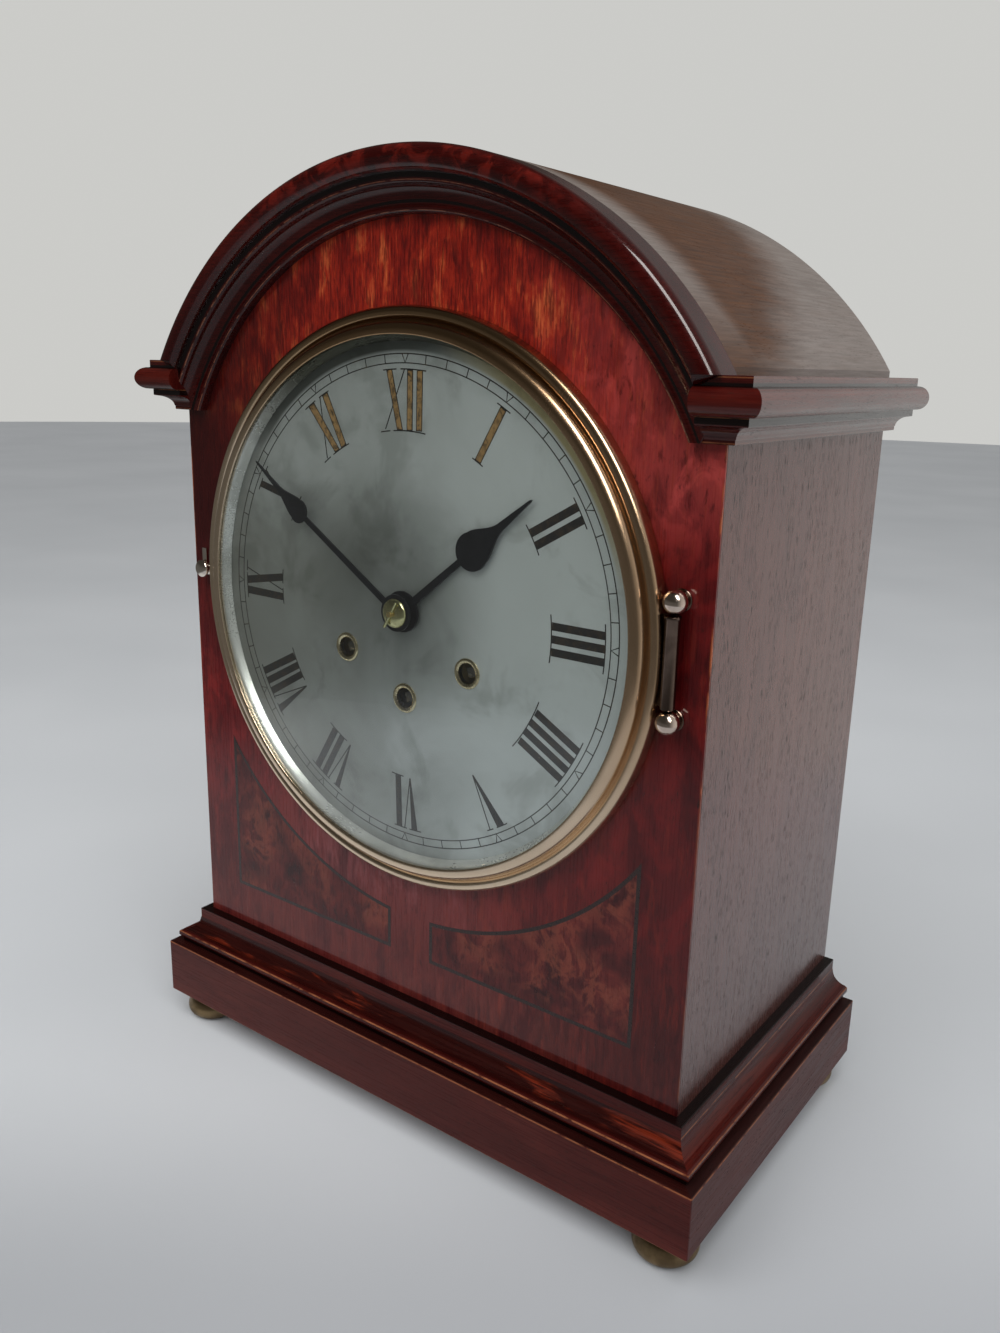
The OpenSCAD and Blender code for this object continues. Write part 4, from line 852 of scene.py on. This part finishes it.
def arch_end(r):
    if r > 157.15:
        return math.degrees(math.asin((345.5 - ROOF_Z) / r))
    if r > 146.3:
        return math.degrees(math.acos(BLOCK_X / r))
    return math.degrees(math.asin((CORNICE_Z - ROOF_Z) / r))


STEPS = 160
per = len(ARCH_PROF)
av = []
for i in range(STEPS + 1):
    for r, h in ARCH_PROF:
        a0 = arch_end(r)
        a = a0 + (180 - 2 * a0) * i / STEPS
        av.append((r * cosd(a), FRONT - h, ROOF_Z + r * sind(a)))
af = ring_faces(STEPS + 1, per, False)
tri = tessellate_polygon([[Vector((r, h, 0)) for r, h in ARCH_PROF]])
af += [tuple(t) for t in tri] + [tuple(STEPS * per + q for q in reversed(t)) for t in tri]
arch = make("arch_moulding_run", av, af, [M_ARCH], smooth=32, slot="arch_moulding")
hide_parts("arch_moulding")

# ---------------------------------------------------------------- bezel, glass, dial
BEZ = [(113.5, 0.2), (122.9, 0.2), (123.1, 0.4), (123.1, 3.9), (123.0, 4.5)] + arc(120.3, 4.5, 2.7, 2.8, 12, 152, 18) + \
    [(117.6, 5.68), (117.4, 5.9), (117.32, 6.9), (117.1, 7.7), (116.75, 8.45), (116.2, 9.15), (115.55, 9.7), (114.8, 10.08), (114, 10.27), (113.2, 10.3),
     (112.6, 10.27), (112.15, 10.15), (111.88, 9.95), (111.8, 9.75), (111.8, 9.56), (113.5, 9.34)]
bez_v, bez_f = carved(lathe_data(BEZ, (0, FRONT, DIAL_Z), "Y", 288),
                      lathe_data([(0, 1.5), (10.6, 1.5), (10.6, 3.2), (0, 3.2)], (-130, FRONT, 247.9), "Y", 48))
AX, AY = 127.0, -75.9
TX = AX - 0.5
kn = [(1.45, -17.2), (2.6, -17.2), (2.8, -17.0), (2.8, 15.9), (2.9, 16.1), (3.1, 16.25), (3.15, 16.4), (3.15, 17.0), (2.95, 17.2), (1.45, 17.2)]
v2, f2 = lathe_data(kn, (TX, AY, DIAL_Z), "Z", 48, len(bez_v))
tab = [(121.3, -74.2), (124.6, -74.3), (127.2, -74.4), (127.2, -73.3), (125.0, -72.7), (121.3, -72.6)]
TH = 17.15
v3 = [(x, y, DIAL_Z - TH) for x, y in tab] + [(x, y, DIAL_Z + TH) for x, y in tab]
b3 = len(bez_v) + len(v2)
f3 = [tuple(b3 + q for q in (5, 4, 3, 2, 1, 0)), tuple(b3 + q for q in (6, 7, 8, 9, 10, 11))] + [tuple(b3 + q for q in (i, (i + 1) % 6, 6 + (i + 1) % 6, 6 + i)) for i in range(6)]
bezel = make("bezel_ring", bez_v + v2 + v3, bez_f + f2 + f3, [M_BEZEL, M_TUBE_SHADED], index=[0] * len(bez_f) + [1] * (len(f2) + len(f3)), smooth=30, body="bezel", slot="bezel")
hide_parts("bezel")

GC = 861.0


def dome(off, r):
    return 16.8 - GC + math.sqrt((GC - off) ** 2 - r * r)


GL = [(113.2 * i / 40, dome(0, 113.2 * i / 40)) for i in range(41)] + [(113.2 * i / 40, dome(1.3, 113.2 * i / 40)) for i in range(40, -1, -1)]
glass = lathe("dome_glass", GL, (0, FRONT, DIAL_Z), [M_GLASS], n=192, smooth=40, body="bezel", slot="dial_glass")
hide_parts("dial_glass")

RING = [(109.6, 3.55), (113.2, 3.55), (113.2, 7.29), (112.0, 7.44), (111.8, 7.3), (110.9, 6.0), (110.1, 4.75), (109.55, 3.8)]
ring = lathe("sight_ring_band", RING, (0, FRONT, DIAL_Z), [M_RING], n=256, smooth=30, body="bezel", slot="sight_ring")
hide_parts("sight_ring")

WIND = [(0, -38.4), (-33.8, -21.3), (33.8, -21.3)]
DY = -74.4
dial_out = circle(0, DIAL_Z, 112, 192)
holes = [circle(0, DIAL_Z, 4, 40)] + [circle(x, DIAL_Z + z, 5.45, 48) for x, z in WIND]
dial = prism("dial_disc", [([dial_out] + holes, DY, DY + 1.6), ([circle(0, DIAL_Z, 112, 192), circle(0, DIAL_Z, 110.4, 192)], DY + 1.6, FRONT)], [M_DIAL], slot="dial_plate")
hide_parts("dial_plate")

GR = [(4.5, -2.2), (5.45, -2.2), (5.45, 0), (6.4, 0), (6.5, 0.1), (6.5, 0.32), (6.3, 0.55), (6.0, 0.72), (5.6, 0.78), (5.2, 0.72), (4.8, 0.5), (4.5, 0.25)]
gr = lathe("winding_rings", GR, (WIND[0][0], DY, DIAL_Z + WIND[0][1]), [M_GROMMET], n=56,
           more=tuple((x, DY, DIAL_Z + z) for x, z in WIND[1:]), smooth=35, slot="winding_grommets")
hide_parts("winding_grommets")


# figures: strokes in (u, r), u clockwise across the radius at the hour's angle
def place(hour, u, r):
    a = math.radians(30 * hour)
    return (u * math.cos(a) + r * math.sin(a), DIAL_Z - u * math.sin(a) + r * math.cos(a))


TOP, BOT = 98.4, 74.6
# brown=1 marks the top figures whose gold-brown core is a painted reflection
FIG = {
    12: dict(bars=[(6.1, 9.4, 5.8, 9.0), (1.1, 4.3, 0.8, 4.0), (-10.2, -6.9, -4.4, -1.1)], thin=[(-0.4, -10.6)], top=[(-11.8, -4.6), (-2.4, 11)], bot=[(-13, -8), (-6.2, 10.8)], brown=1),
    11: dict(bars=[(-7, -3, -2.7, 0.5), (2.7, 6.4, 1.5, 5.1)], thin=[(1.2, -8.1)], top=[(-9.2, -2), (0.7, 7.2)], bot=[(-10.5, -5.9), (-4, 6.6)], brown=1),
    1: dict(bars=[(-1.65, 1.65, -1.65, 1.65)], thin=[], top=[(-3.6, 3.6)], bot=[(-3, 3)], brown=1),
    2: dict(bars=[(-4.25, -0.95, -4.25, -0.95), (0.95, 4.25, 0.95, 4.25)], thin=[], top=[(-6.4, 6.4)], bot=[(-6.4, 6.4)], brown=0),
    3: dict(bars=[(-6.7, -3.5, -6.7, -3.5), (-1.6, 1.6, -1.6, 1.6), (3.5, 6.7, 3.5, 6.7)], thin=[], top=[(-9.6, 9.6)], bot=[(-9.6, 9.6)], brown=0),
    4: dict(bars=[(c - 1.62, c + 1.62, c - 1.62, c + 1.62) for c in (-7.6, -2.5, 2.5, 7.6)], thin=[], top=[(-12.2, 12.2)], bot=[(-12.2, 12.2)], brown=0),
    5: dict(bars=[(-6.1, -2, -0.6, 0.1)], thin=[(2.3, -0.2)], top=[(-7.8, -1.6), (0.4, 4)], bot=[], brown=0),
    6: dict(bars=[(-7.4, -3.9, -3.3, -2.6), (1.5, 4.8, 2.3, 5.5)], thin=[(0, -2.9)], top=[(-9.5, -2.7), (-1.2, 6)], bot=[(0.8, 7.6)], brown=0),
    7: dict(bars=[(-10.2, -7, -5.5, -4.9), (-1, 2.3, -0.9, 2.3), (4, 7.6, 3.8, 7.3)], thin=[(-2.4, -5.1)], top=[(-12, -6.2), (-3.4, 9.8)], bot=[(-2.6, 9.7)], brown=0),
    8: dict(bars=[(-13.8, -10.1, -8.7, -8.1), (-4.2, -0.8, -4.0, -0.8), (1, 4.4, 0.5, 3.8), (6, 9.5, 4.9, 8.5)], thin=[(-5.5, -8.3)], top=[(-15.6, -9), (-6.6, 11)], bot=[(-5.5, 10.6)], brown=0),
    9: dict(bars=[(-6, -2.3, -6.1, -2.7), (-1.2, 2.5, 3, 6.5)], thin=[(6.5, -1.3)], top=[(-7.9, 4), (5, 10)], bot=[(-7.6, -0.4), (1.9, 8.4)], brown=0),
    10: dict(bars=[(-4.8, -1.5, 1.8, 5.1)], thin=[(4.2, -4.6)], top=[(-6.4, -0.4), (2.2, 6.2)], bot=[(-6.6, -2.8), (0.4, 6.6)], brown=0),
}


def arc_strip(hour, u0, u1, r, w, n=6):
    """thin strip that follows the circle of radius r"""
    up, dn = [], []
    for i in range(n + 1):
        u = u0 + (u1 - u0) * i / n
        up.append(place(hour, u, math.sqrt((r + w / 2) ** 2 - u * u)))
        dn.append(place(hour, u, math.sqrt((r - w / 2) ** 2 - u * u)))
    return up + dn[::-1]


def ccw(loop):
    n = len(loop)
    a = sum(loop[i][0] * loop[(i + 1) % n][1] - loop[(i + 1) % n][0] * loop[i][1] for i in range(n))
    return loop if a > 0 else loop[::-1]


WY0, WY1 = DY - 0.05, DY + 0.4
black, brown, lines = [], [], []
for h, d in FIG.items():
    dest = brown if d["brown"] else black
    for t0, t1, b0, b1 in d["bars"]:
        q = [place(h, t0, TOP), place(h, t1, TOP), place(h, b1, BOT), place(h, b0, BOT)]
        if d["brown"]:
            # dark outline and a gold-brown core that is a painted reflection
            core = offset_loop(ccw(q), 0.42)
            black.append(([ccw(q)], WY0 + 0.015, WY1))
            dest.append(([core], WY0 - 0.005, WY1))
        else:
            dest.append(([ccw(q)], WY0, WY1))
    for t, b in d["thin"]:
        black.append(([ccw([place(h, t - 0.27, TOP), place(h, t + 0.27, TOP), place(h, b + 0.27, BOT), place(h, b - 0.27, BOT)])], WY0 - 0.004, WY1))
    for u0, u1 in d["top"]:
        black.append(([ccw(arc_strip(h, u0, u1, TOP + 0.25, 0.5))], WY0 - 0.008, WY1))
    for u0, u1 in d["bot"]:
        black.append(([ccw(arc_strip(h, u0, u1, BOT - 0.1, 0.5))], WY0 - 0.008, WY1))
prism("figures_black", black, [M_WAX], slot="dial_plate")
prism("figures_painted_reflection", brown, [M_FIG_REFLECTION], slot="dial_plate")

# minute track: two rings, minute ticks and five-minute triangles
R_OUT, R_IN = 104.6, 101.0
track = []
for r, w in ((R_OUT, 0.50), (R_IN, 0.46)):
    track.append(([circle(0, DIAL_Z, r + w / 2, 240), circle(0, DIAL_Z, r - w / 2, 240)], WY0, WY1))
for m in range(60):
    a = m / 5
    if m % 5:
        track.append(([ccw([place(a, -0.22, R_OUT), place(a, 0.22, R_OUT), place(a, 0.22, R_IN), place(a, -0.22, R_IN)])], WY0 - 0.003, WY1))
    else:
        for s in (-1, 1):
            track.append(([ccw([place(a, s * 1.95, R_OUT), place(a, s * 1.40, R_OUT), place(a, 0, R_IN + 0.45), place(a, s * 0.05, R_IN)])], WY0 - 0.003, WY1))
prism("minute_track", track, [M_LINE], slot="dial_plate")


# ---------------------------------------------------------------- hands
def hand_side(shaft, a, b, taper, tipw, length):
    pts = [(shaft * 0.6, 0), (shaft / 2, a - math.sqrt(b * b - shaft * shaft / 4))]
    for i in range(19):
        g = -75 + 99 * i / 18
        pts.append((b * cosd(g), a + b * sind(g)))
    for i in range(1, 21):
        t = i / 20
        pts.append((tipw + (b * cosd(24) - tipw) * (0.5 + 0.5 * cosd(180 * t ** 0.85)), a + b * sind(24) + (taper - a - b * sind(24)) * t))
    return pts + [(tipw * 0.3, length - 1), (0, length)]


def hand(name, deg, dims, boss, bore, y0, y1, body, node, bend=None):
    h = hand_side(*dims)
    right = [p for p in h]
    a_join = math.degrees(math.atan2(right[0][0], math.sqrt(boss ** 2 - right[0][0] ** 2)))
    shaft0 = right[0][0]
    zj = math.sqrt(boss ** 2 - shaft0 ** 2)
    side = [(shaft0, zj)] + [p for p in right[1:] if p[1] > zj + 0.5]
    # straight run subdivided so that a bend can follow it
    dense = [side[0]]
    for p, q in zip(side, side[1:]):
        k = max(1, int(math.hypot(q[0] - p[0], q[1] - p[1]) / 2.5))
        dense += [(p[0] + (q[0] - p[0]) * i / k, p[1] + (q[1] - p[1]) * i / k) for i in range(1, k + 1)]
    side = dense
    round_ = [(boss * sind(a), boss * cosd(a)) for a in [a_join + (360 - 2 * a_join) * i / 56 for i in range(1, 56)]]
    left = [(-x, z) for x, z in side[::-1] if x > 1e-6]
    outline = side + left
    # outline goes tip-wards on the right, back on the left, then round the boss anticlockwise seen from the front
    loop = outline + round_[::-1]
    ca, sa = cosd(deg), sind(deg)
    pts = [(x * ca + z * sa, DIAL_Z - x * sa + z * ca) for x, z in loop]
    o = prism(name, [([ccw(pts), circle(0, DIAL_Z, bore, 40)], y0, y1)], [M_HAND], bevel=0.22, seg=2, limit=60, body=body, slot=node)
    if bend:
        me = o.data
        for v in me.vertices:
            r = math.hypot(v.co.x, v.co.z - DIAL_Z * MM) / MM
            v.co.y += bend(r) * MM
    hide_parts(node)
    return o


hand("hour_hand_steel", 51, (2.8, 47, 7.9, 66, 1.6, 83.5), 8.8, 3.2, -76.7, -75.8, "hour", "hour_hand")
hand("minute_hand_steel", 303, (2.3, 68, 5.2, 86, 1.1, 104), 7.9, 2.2, -80.6, -79.8, "minute", "minute_hand",
     bend=lambda r: 0 if r < 62 else 3.4 * ((r - 62) / 42) ** 1.4)

# collet with its taper pin
COL = [(1.25, 0), (6.0, 0), (6.3, 0.15), (6.3, 0.45)] + arc(0, 0.45, 6.2, 2.1, 6, 76, 14) + [(1.25, 2.5)]
col_v, col_f = lathe_data(COL, (0, -80.8, DIAL_Z), "Y", 64)
pv, pf = [], []
nseg = 20
for t, r in ((-6.8, 0.55), (-6.6, 0.75), (6.0, 0.5), (6.2, 0.3)):
    for i in range(nseg):
        a = 2 * math.pi * i / nseg
        lx, ly = r * math.cos(a), r * math.sin(a)
        # pin along Z tilted by 30 degrees about Y
        pv.append((lx * cosd(30) + t * sind(30), -83.7 + ly, DIAL_Z - lx * sind(30) + t * cosd(30)))
b0 = len(col_v)
for k in range(3):
    for i in range(nseg):
        j = (i + 1) % nseg
        pf.append((b0 + k * nseg + i, b0 + k * nseg + j, b0 + (k + 1) * nseg + j, b0 + (k + 1) * nseg + i))
pf.append(tuple(b0 + i for i in range(nseg - 1, -1, -1)))
pf.append(tuple(b0 + 3 * nseg + i for i in range(nseg)))
collet = make("collet_and_pin", col_v + pv, col_f + pf, [M_COLLET], smooth=35, body="centre", slot="hand_collet")
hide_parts("hand_collet")

# ---------------------------------------------------------------- hinge and catch
hv, hf = [], []
v, f = lathe_data([(0, -20), (0.36, -20), (0.36, 20), (0, 20)], (127, -75, DIAL_Z), "Z", 24, len(hv))
hv += v
hf += f
hi = [1] * len(hf)
BALL = [(0, 0), (4.1, 0), (4.2, 0.12), (4.2, 0.42), (4.0, 0.66), (2.9, 0.72), (2.6, 1.0)] + arc(0, 4.9, 4.55, 4.55, -56, 90, 28)
for s in (-1, 1):
    v, f = lathe_data(BALL, (AX, FRONT, DIAL_Z + 22.3 * s), "Y", 48, len(hv))
    # faces next to the panel take the darkened tube brass, a painted shade
    hi += [1 if sum((FRONT - (hv + v)[q][1]) for q in t) / len(t) < 0.9 else 0 for t in f]
    hv += v
    hf += f


def box(x0, x1, y0, y1, z0, z1, base_i):
    v = [(x, y, z) for z in (z0, z1) for y in (y0, y1) for x in (x0, x1)]
    f = [(0, 2, 3, 1), (4, 5, 7, 6), (0, 1, 5, 4), (2, 6, 7, 3), (0, 4, 6, 2), (1, 3, 7, 5)]
    return v, [tuple(base_i + q for q in t) for t in f]


hinge = make("bezel_hinge_fixed", hv, hf, [M_HINGE, M_TUBE_SHADED], index=hi, smooth=35, bevel=0.12, seg=2, limit=60, slot="bezel_hinge")
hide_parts("bezel_hinge")

CATCH = [(0, 0.1), (3.3, 0.1), (3.3, 1.4), (3.1, 1.6), (2.3, 1.8), (2.15, 2.4), (2.3, 3.1)] + arc(0.2, 4.7, 4.0, 2.1, -32, 88, 16) + [(0, 6.8)]
cv, cf = lathe_data(CATCH, (-130, -71, 247.9), "Y", 56)
v, f = lathe_data([(0, -8), (1.75, -8), (1.75, 0.5), (0, 0.5)], (-130, -71, 247.9), "Y", 32, len(cv))
cv += v
cf += f
v, f = box(-131.5, -128.5, -74, -72.7, 247.9, 257.9, len(cv))
cv += v
cf += f
catch = make("bezel_catch_knob", cv, cf, [M_CATCH], smooth=35, bevel=0.12, seg=2, limit=60, body="bezel_catch", slot="bezel_catch")
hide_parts("bezel_catch")

# ---------------------------------------------------------------- materials of the pieces kept from the frame
KEPT = {
    "bottom_board": M_PLAIN_X, "seat_board": M_PLAIN_X, "back_frame": M_PLAIN_Z, "back_door": M_DOOR, "door_glass": M_PANE,
    "gong_block": M_IRON, "gong_rods": M_RODS, "pallets": M_STEEL, "cannon_pinion": M_STEEL,
    "going_arbor": M_SQUARE, "strike_arbor": M_SQUARE, "chime_arbor": M_SQUARE,
}
shown = {"plinth", "base_moulding", "cornices", "arch_moulding", "roof", "front_panel", "case_sides", "burr_panels", "feet", "bezel",
         "dial_glass", "sight_ring", "bezel_hinge", "bezel_catch", "dial_plate", "winding_grommets", "hour_hand", "minute_hand", "hand_collet"}
for name, o in NODES.items():
    m = KEPT.get(name, M_BRASS)
    if name not in shown:
        for s in o.material_slots:
            s.material = m
        if not o.material_slots:
            o.data.materials.append(m)

# ---------------------------------------------------------------- floor, light, camera
def floor_material():
    """pale cloth-like floor; the rim of the near part fades out of reflections"""
    g = Graph("floor_pale")
    n = g.noise(g.coords((1, 1, 1)), 3.0, 2, 0.5)
    col = g.ramp(n, [(0.3, (0.535, 0.564, 0.600)), (0.7, (0.575, 0.604, 0.640))])
    # painted shade: the floor is darker towards the front right, on the camera's side
    col = g.mix(g.span(g.math("MULTIPLY_ADD", g.axis(0), 0.55, g.math("MULTIPLY", g.axis(1), -0.83)), 0.03, 0.20), col, (0.66, 0.66, 0.67), "MULTIPLY")
    p = g.principled(Base_Color=col, Roughness=0.9, Specular_IOR_Level=0.1)
    ln = g.new("VectorMath", operation="LENGTH")
    g.link(g.coords(), ln.inputs[0])
    rim = g.span(ln.outputs["Value"], 0.50, 0.70)
    lp = g.new("LightPath")
    tr = g.new("BsdfTransparent")
    mx = g.new("MixShader")
    g.link(g.math("MULTIPLY", rim, lp.outputs["Is Glossy Ray"]), mx.inputs[0])
    g.link(p.outputs[0], mx.inputs[1])
    g.link(tr.outputs[0], mx.inputs[2])
    g.link(mx.outputs[0], g.out.inputs["Surface"])
    return g.mat


M_FLOOR = floor_material()
NEAR = 760.0
n = 160
near = make("floor_near", [(NEAR * math.sin(2 * math.pi * i / n), NEAR * math.cos(2 * math.pi * i / n), 0) for i in range(n)], [tuple(range(n))], [M_FLOOR], body=None)
far_r = 6000.0
fv = [(NEAR * math.sin(2 * math.pi * i / n), NEAR * math.cos(2 * math.pi * i / n), 0) for i in range(n)] + \
     [(far_r * math.sin(2 * math.pi * i / n), far_r * math.cos(2 * math.pi * i / n), 0) for i in range(n)]
far = make("floor_far", fv, [(i, (i + 1) % n, n + (i + 1) % n, n + i) for i in range(n)], [M_FLOOR], body=None)
for o in (near, far):
    for p in o.data.polygons:
        if p.normal.z < 0:
            o.data.flip_normals()
            break
far.visible_glossy = False

world = bpy.data.worlds.new("studio")
scene.world = world
world.use_nodes = True
wt = world.node_tree
wt.nodes.clear()
wo = wt.nodes.new("ShaderNodeOutputWorld")
bg_cam = wt.nodes.new("ShaderNodeBackground")
bg_cam.inputs["Color"].default_value = (0.60, 0.60, 0.58, 1)
bg_cam.inputs["Strength"].default_value = 1.0
bg_room = wt.nodes.new("ShaderNodeBackground")
tc = wt.nodes.new("ShaderNodeTexCoord")


def lobe(axis, stops):
    """light arriving from around one direction; stops are (cosine, colour)"""
    a = Vector(axis).normalized()
    dot = wt.nodes.new("ShaderNodeVectorMath")
    dot.operation = "DOT_PRODUCT"
    wt.links.new(tc.outputs["Generated"], dot.inputs[0])
    dot.inputs[1].default_value = a
    mr = wt.nodes.new("ShaderNodeMapRange")
    mr.inputs["From Min"].default_value = -1
    mr.inputs["From Max"].default_value = 1
    wt.links.new(dot.outputs["Value"], mr.inputs["Value"])
    rp = wt.nodes.new("ShaderNodeValToRGB")
    rp.color_ramp.interpolation = "EASE"
    el = rp.color_ramp.elements
    while len(el) < len(stops):
        el.new(0.5)
    for e, (c, col) in zip(el, stops):
        e.position = (c + 1) / 2
        e.color = (*col, 1)
    wt.links.new(mr.outputs["Result"], rp.inputs["Fac"])
    return rp.outputs["Color"]


def plus(a, b):
    m = wt.nodes.new("ShaderNodeMix")
    m.data_type = "RGBA"
    m.blend_type = "ADD"
    m.inputs["Factor"].default_value = 1.0
    wt.links.new(a, m.inputs[6])
    wt.links.new(b, m.inputs[7])
    return m.outputs[2]


# pale wall behind and to the right, dim ceiling
room = lobe((0.0, 0.0, 1.0), [(-1.0, (0.13, 0.13, 0.128)), (-0.05, (0.10, 0.098, 0.092)), (0.30, (0.045, 0.042, 0.036)), (1.0, (0.04, 0.038, 0.034))])
room = plus(room, lobe((0.76, 0.65, -0.02), [(0.10, (0, 0, 0)), (0.30, (0.12, 0.12, 0.117)), (0.50, (0.22, 0.218, 0.215)), (0.75, (0.46, 0.455, 0.445)), (1.0, (0.54, 0.535, 0.525))]))
wt.links.new(room, bg_room.inputs["Color"])
bg_room.inputs["Strength"].default_value = 1.0
lp = wt.nodes.new("ShaderNodeLightPath")
mixw = wt.nodes.new("ShaderNodeMixShader")
wt.links.new(lp.outputs["Is Camera Ray"], mixw.inputs[0])
wt.links.new(bg_room.outputs[0], mixw.inputs[1])
wt.links.new(bg_cam.outputs[0], mixw.inputs[2])
wt.links.new(mixw.outputs[0], wo.inputs["Surface"])


def area(name, loc, target, size, power, color=(1, 1, 1), size_y=None):
    d = bpy.data.lights.new(name, "AREA")
    d.energy = power
    d.color = color
    d.shape = "RECTANGLE" if size_y else "SQUARE"
    d.size = size
    if size_y:
        d.size_y = size_y
    o = bpy.data.objects.new(name, d)
    o.location = loc
    o.rotation_mode = "QUATERNION"
    o.rotation_quaternion = (Vector(target) - Vector(loc)).to_track_quat("-Z", "Y")
    scene.collection.objects.link(o)
    return o


def soft(o):
    """a wide lamp that lights the piece without showing as a patch in the polish"""
    o.visible_glossy = False


sd = bpy.data.lights.new("key_sun", "SUN")
sd.energy = 1.52
sd.angle = math.radians(65)
sd.color = (1.0, 0.98, 0.955)
sun = bpy.data.objects.new("key_sun", sd)
sun.rotation_mode = "QUATERNION"
sun.rotation_quaternion = Vector((0.18, 0.48, -0.90)).to_track_quat("-Z", "Y")
scene.collection.objects.link(sun)
soft(sun)
soft(area("key", (-0.45, -1.15, 1.35), (0, 0, 0.2), 0.9, 6, (1.0, 0.975, 0.94)))
soft(area("ceiling", (0.25, 0.15, 1.7), (0.05, 0, 0.2), 1.1, 6, (1.0, 0.98, 0.95)))
soft(area("fill", (1.3, -0.9, 0.7), (0, 0, 0.2), 0.9, 6.3, (0.97, 0.98, 1.0)))
# long window light high on the right: it draws the thin bright lines along the mouldings and the bezel
ends = Vector((0.42, -0.42, 1.66)), Vector((1.20, -0.80, 1.12))
mid = (ends[0] + ends[1]) / 2
win = area("window", tuple(mid), (0, 0, 0.3), (ends[1] - ends[0]).length, 20.0, (1.0, 0.98, 0.95), 0.42)
win.visible_diffuse = False
soft(area("sky", tuple(mid), (0, 0, 0.3), 0.9, 8.0, (1.0, 0.98, 0.95)))
wz = (mid - Vector((0, 0, 0.3))).normalized()
wx = ends[1] - ends[0]
wx = (wx - wz * wx.dot(wz)).normalized()
win.rotation_quaternion = Matrix((wx, wz.cross(wx), wz)).transposed().to_quaternion()

cam_data = bpy.data.cameras.new("camera")
cam = bpy.data.objects.new("camera", cam_data)
scene.collection.objects.link(cam)
cam_data.sensor_width = 36.0
cam_data.sensor_fit = "AUTO"
cam_data.lens = 29.99
cam_data.clip_start, cam_data.clip_end = 0.01, 60.0
yaw, pitch, roll = math.radians(36.247), math.radians(-15.209), math.radians(1.362)
fwd = Vector((-math.sin(yaw) * math.cos(pitch), math.cos(yaw) * math.cos(pitch), math.sin(pitch)))
rt = fwd.cross(Vector((0, 0, 1))).normalized()
up = rt.cross(fwd)
r2 = rt * math.cos(roll) + up * math.sin(roll)
u2 = -rt * math.sin(roll) + up * math.cos(roll)
rot = Matrix((r2, u2, -fwd)).transposed()
cam.matrix_world = Matrix.Translation(Vector((303.598, -419.779, 347.103)) * MM) @ rot.to_4x4()
scene.camera = cam

scene.view_settings.view_transform = "Standard"
scene.view_settings.look = "None"
scene.view_settings.exposure = 0.0
scene.view_settings.gamma = 1.0
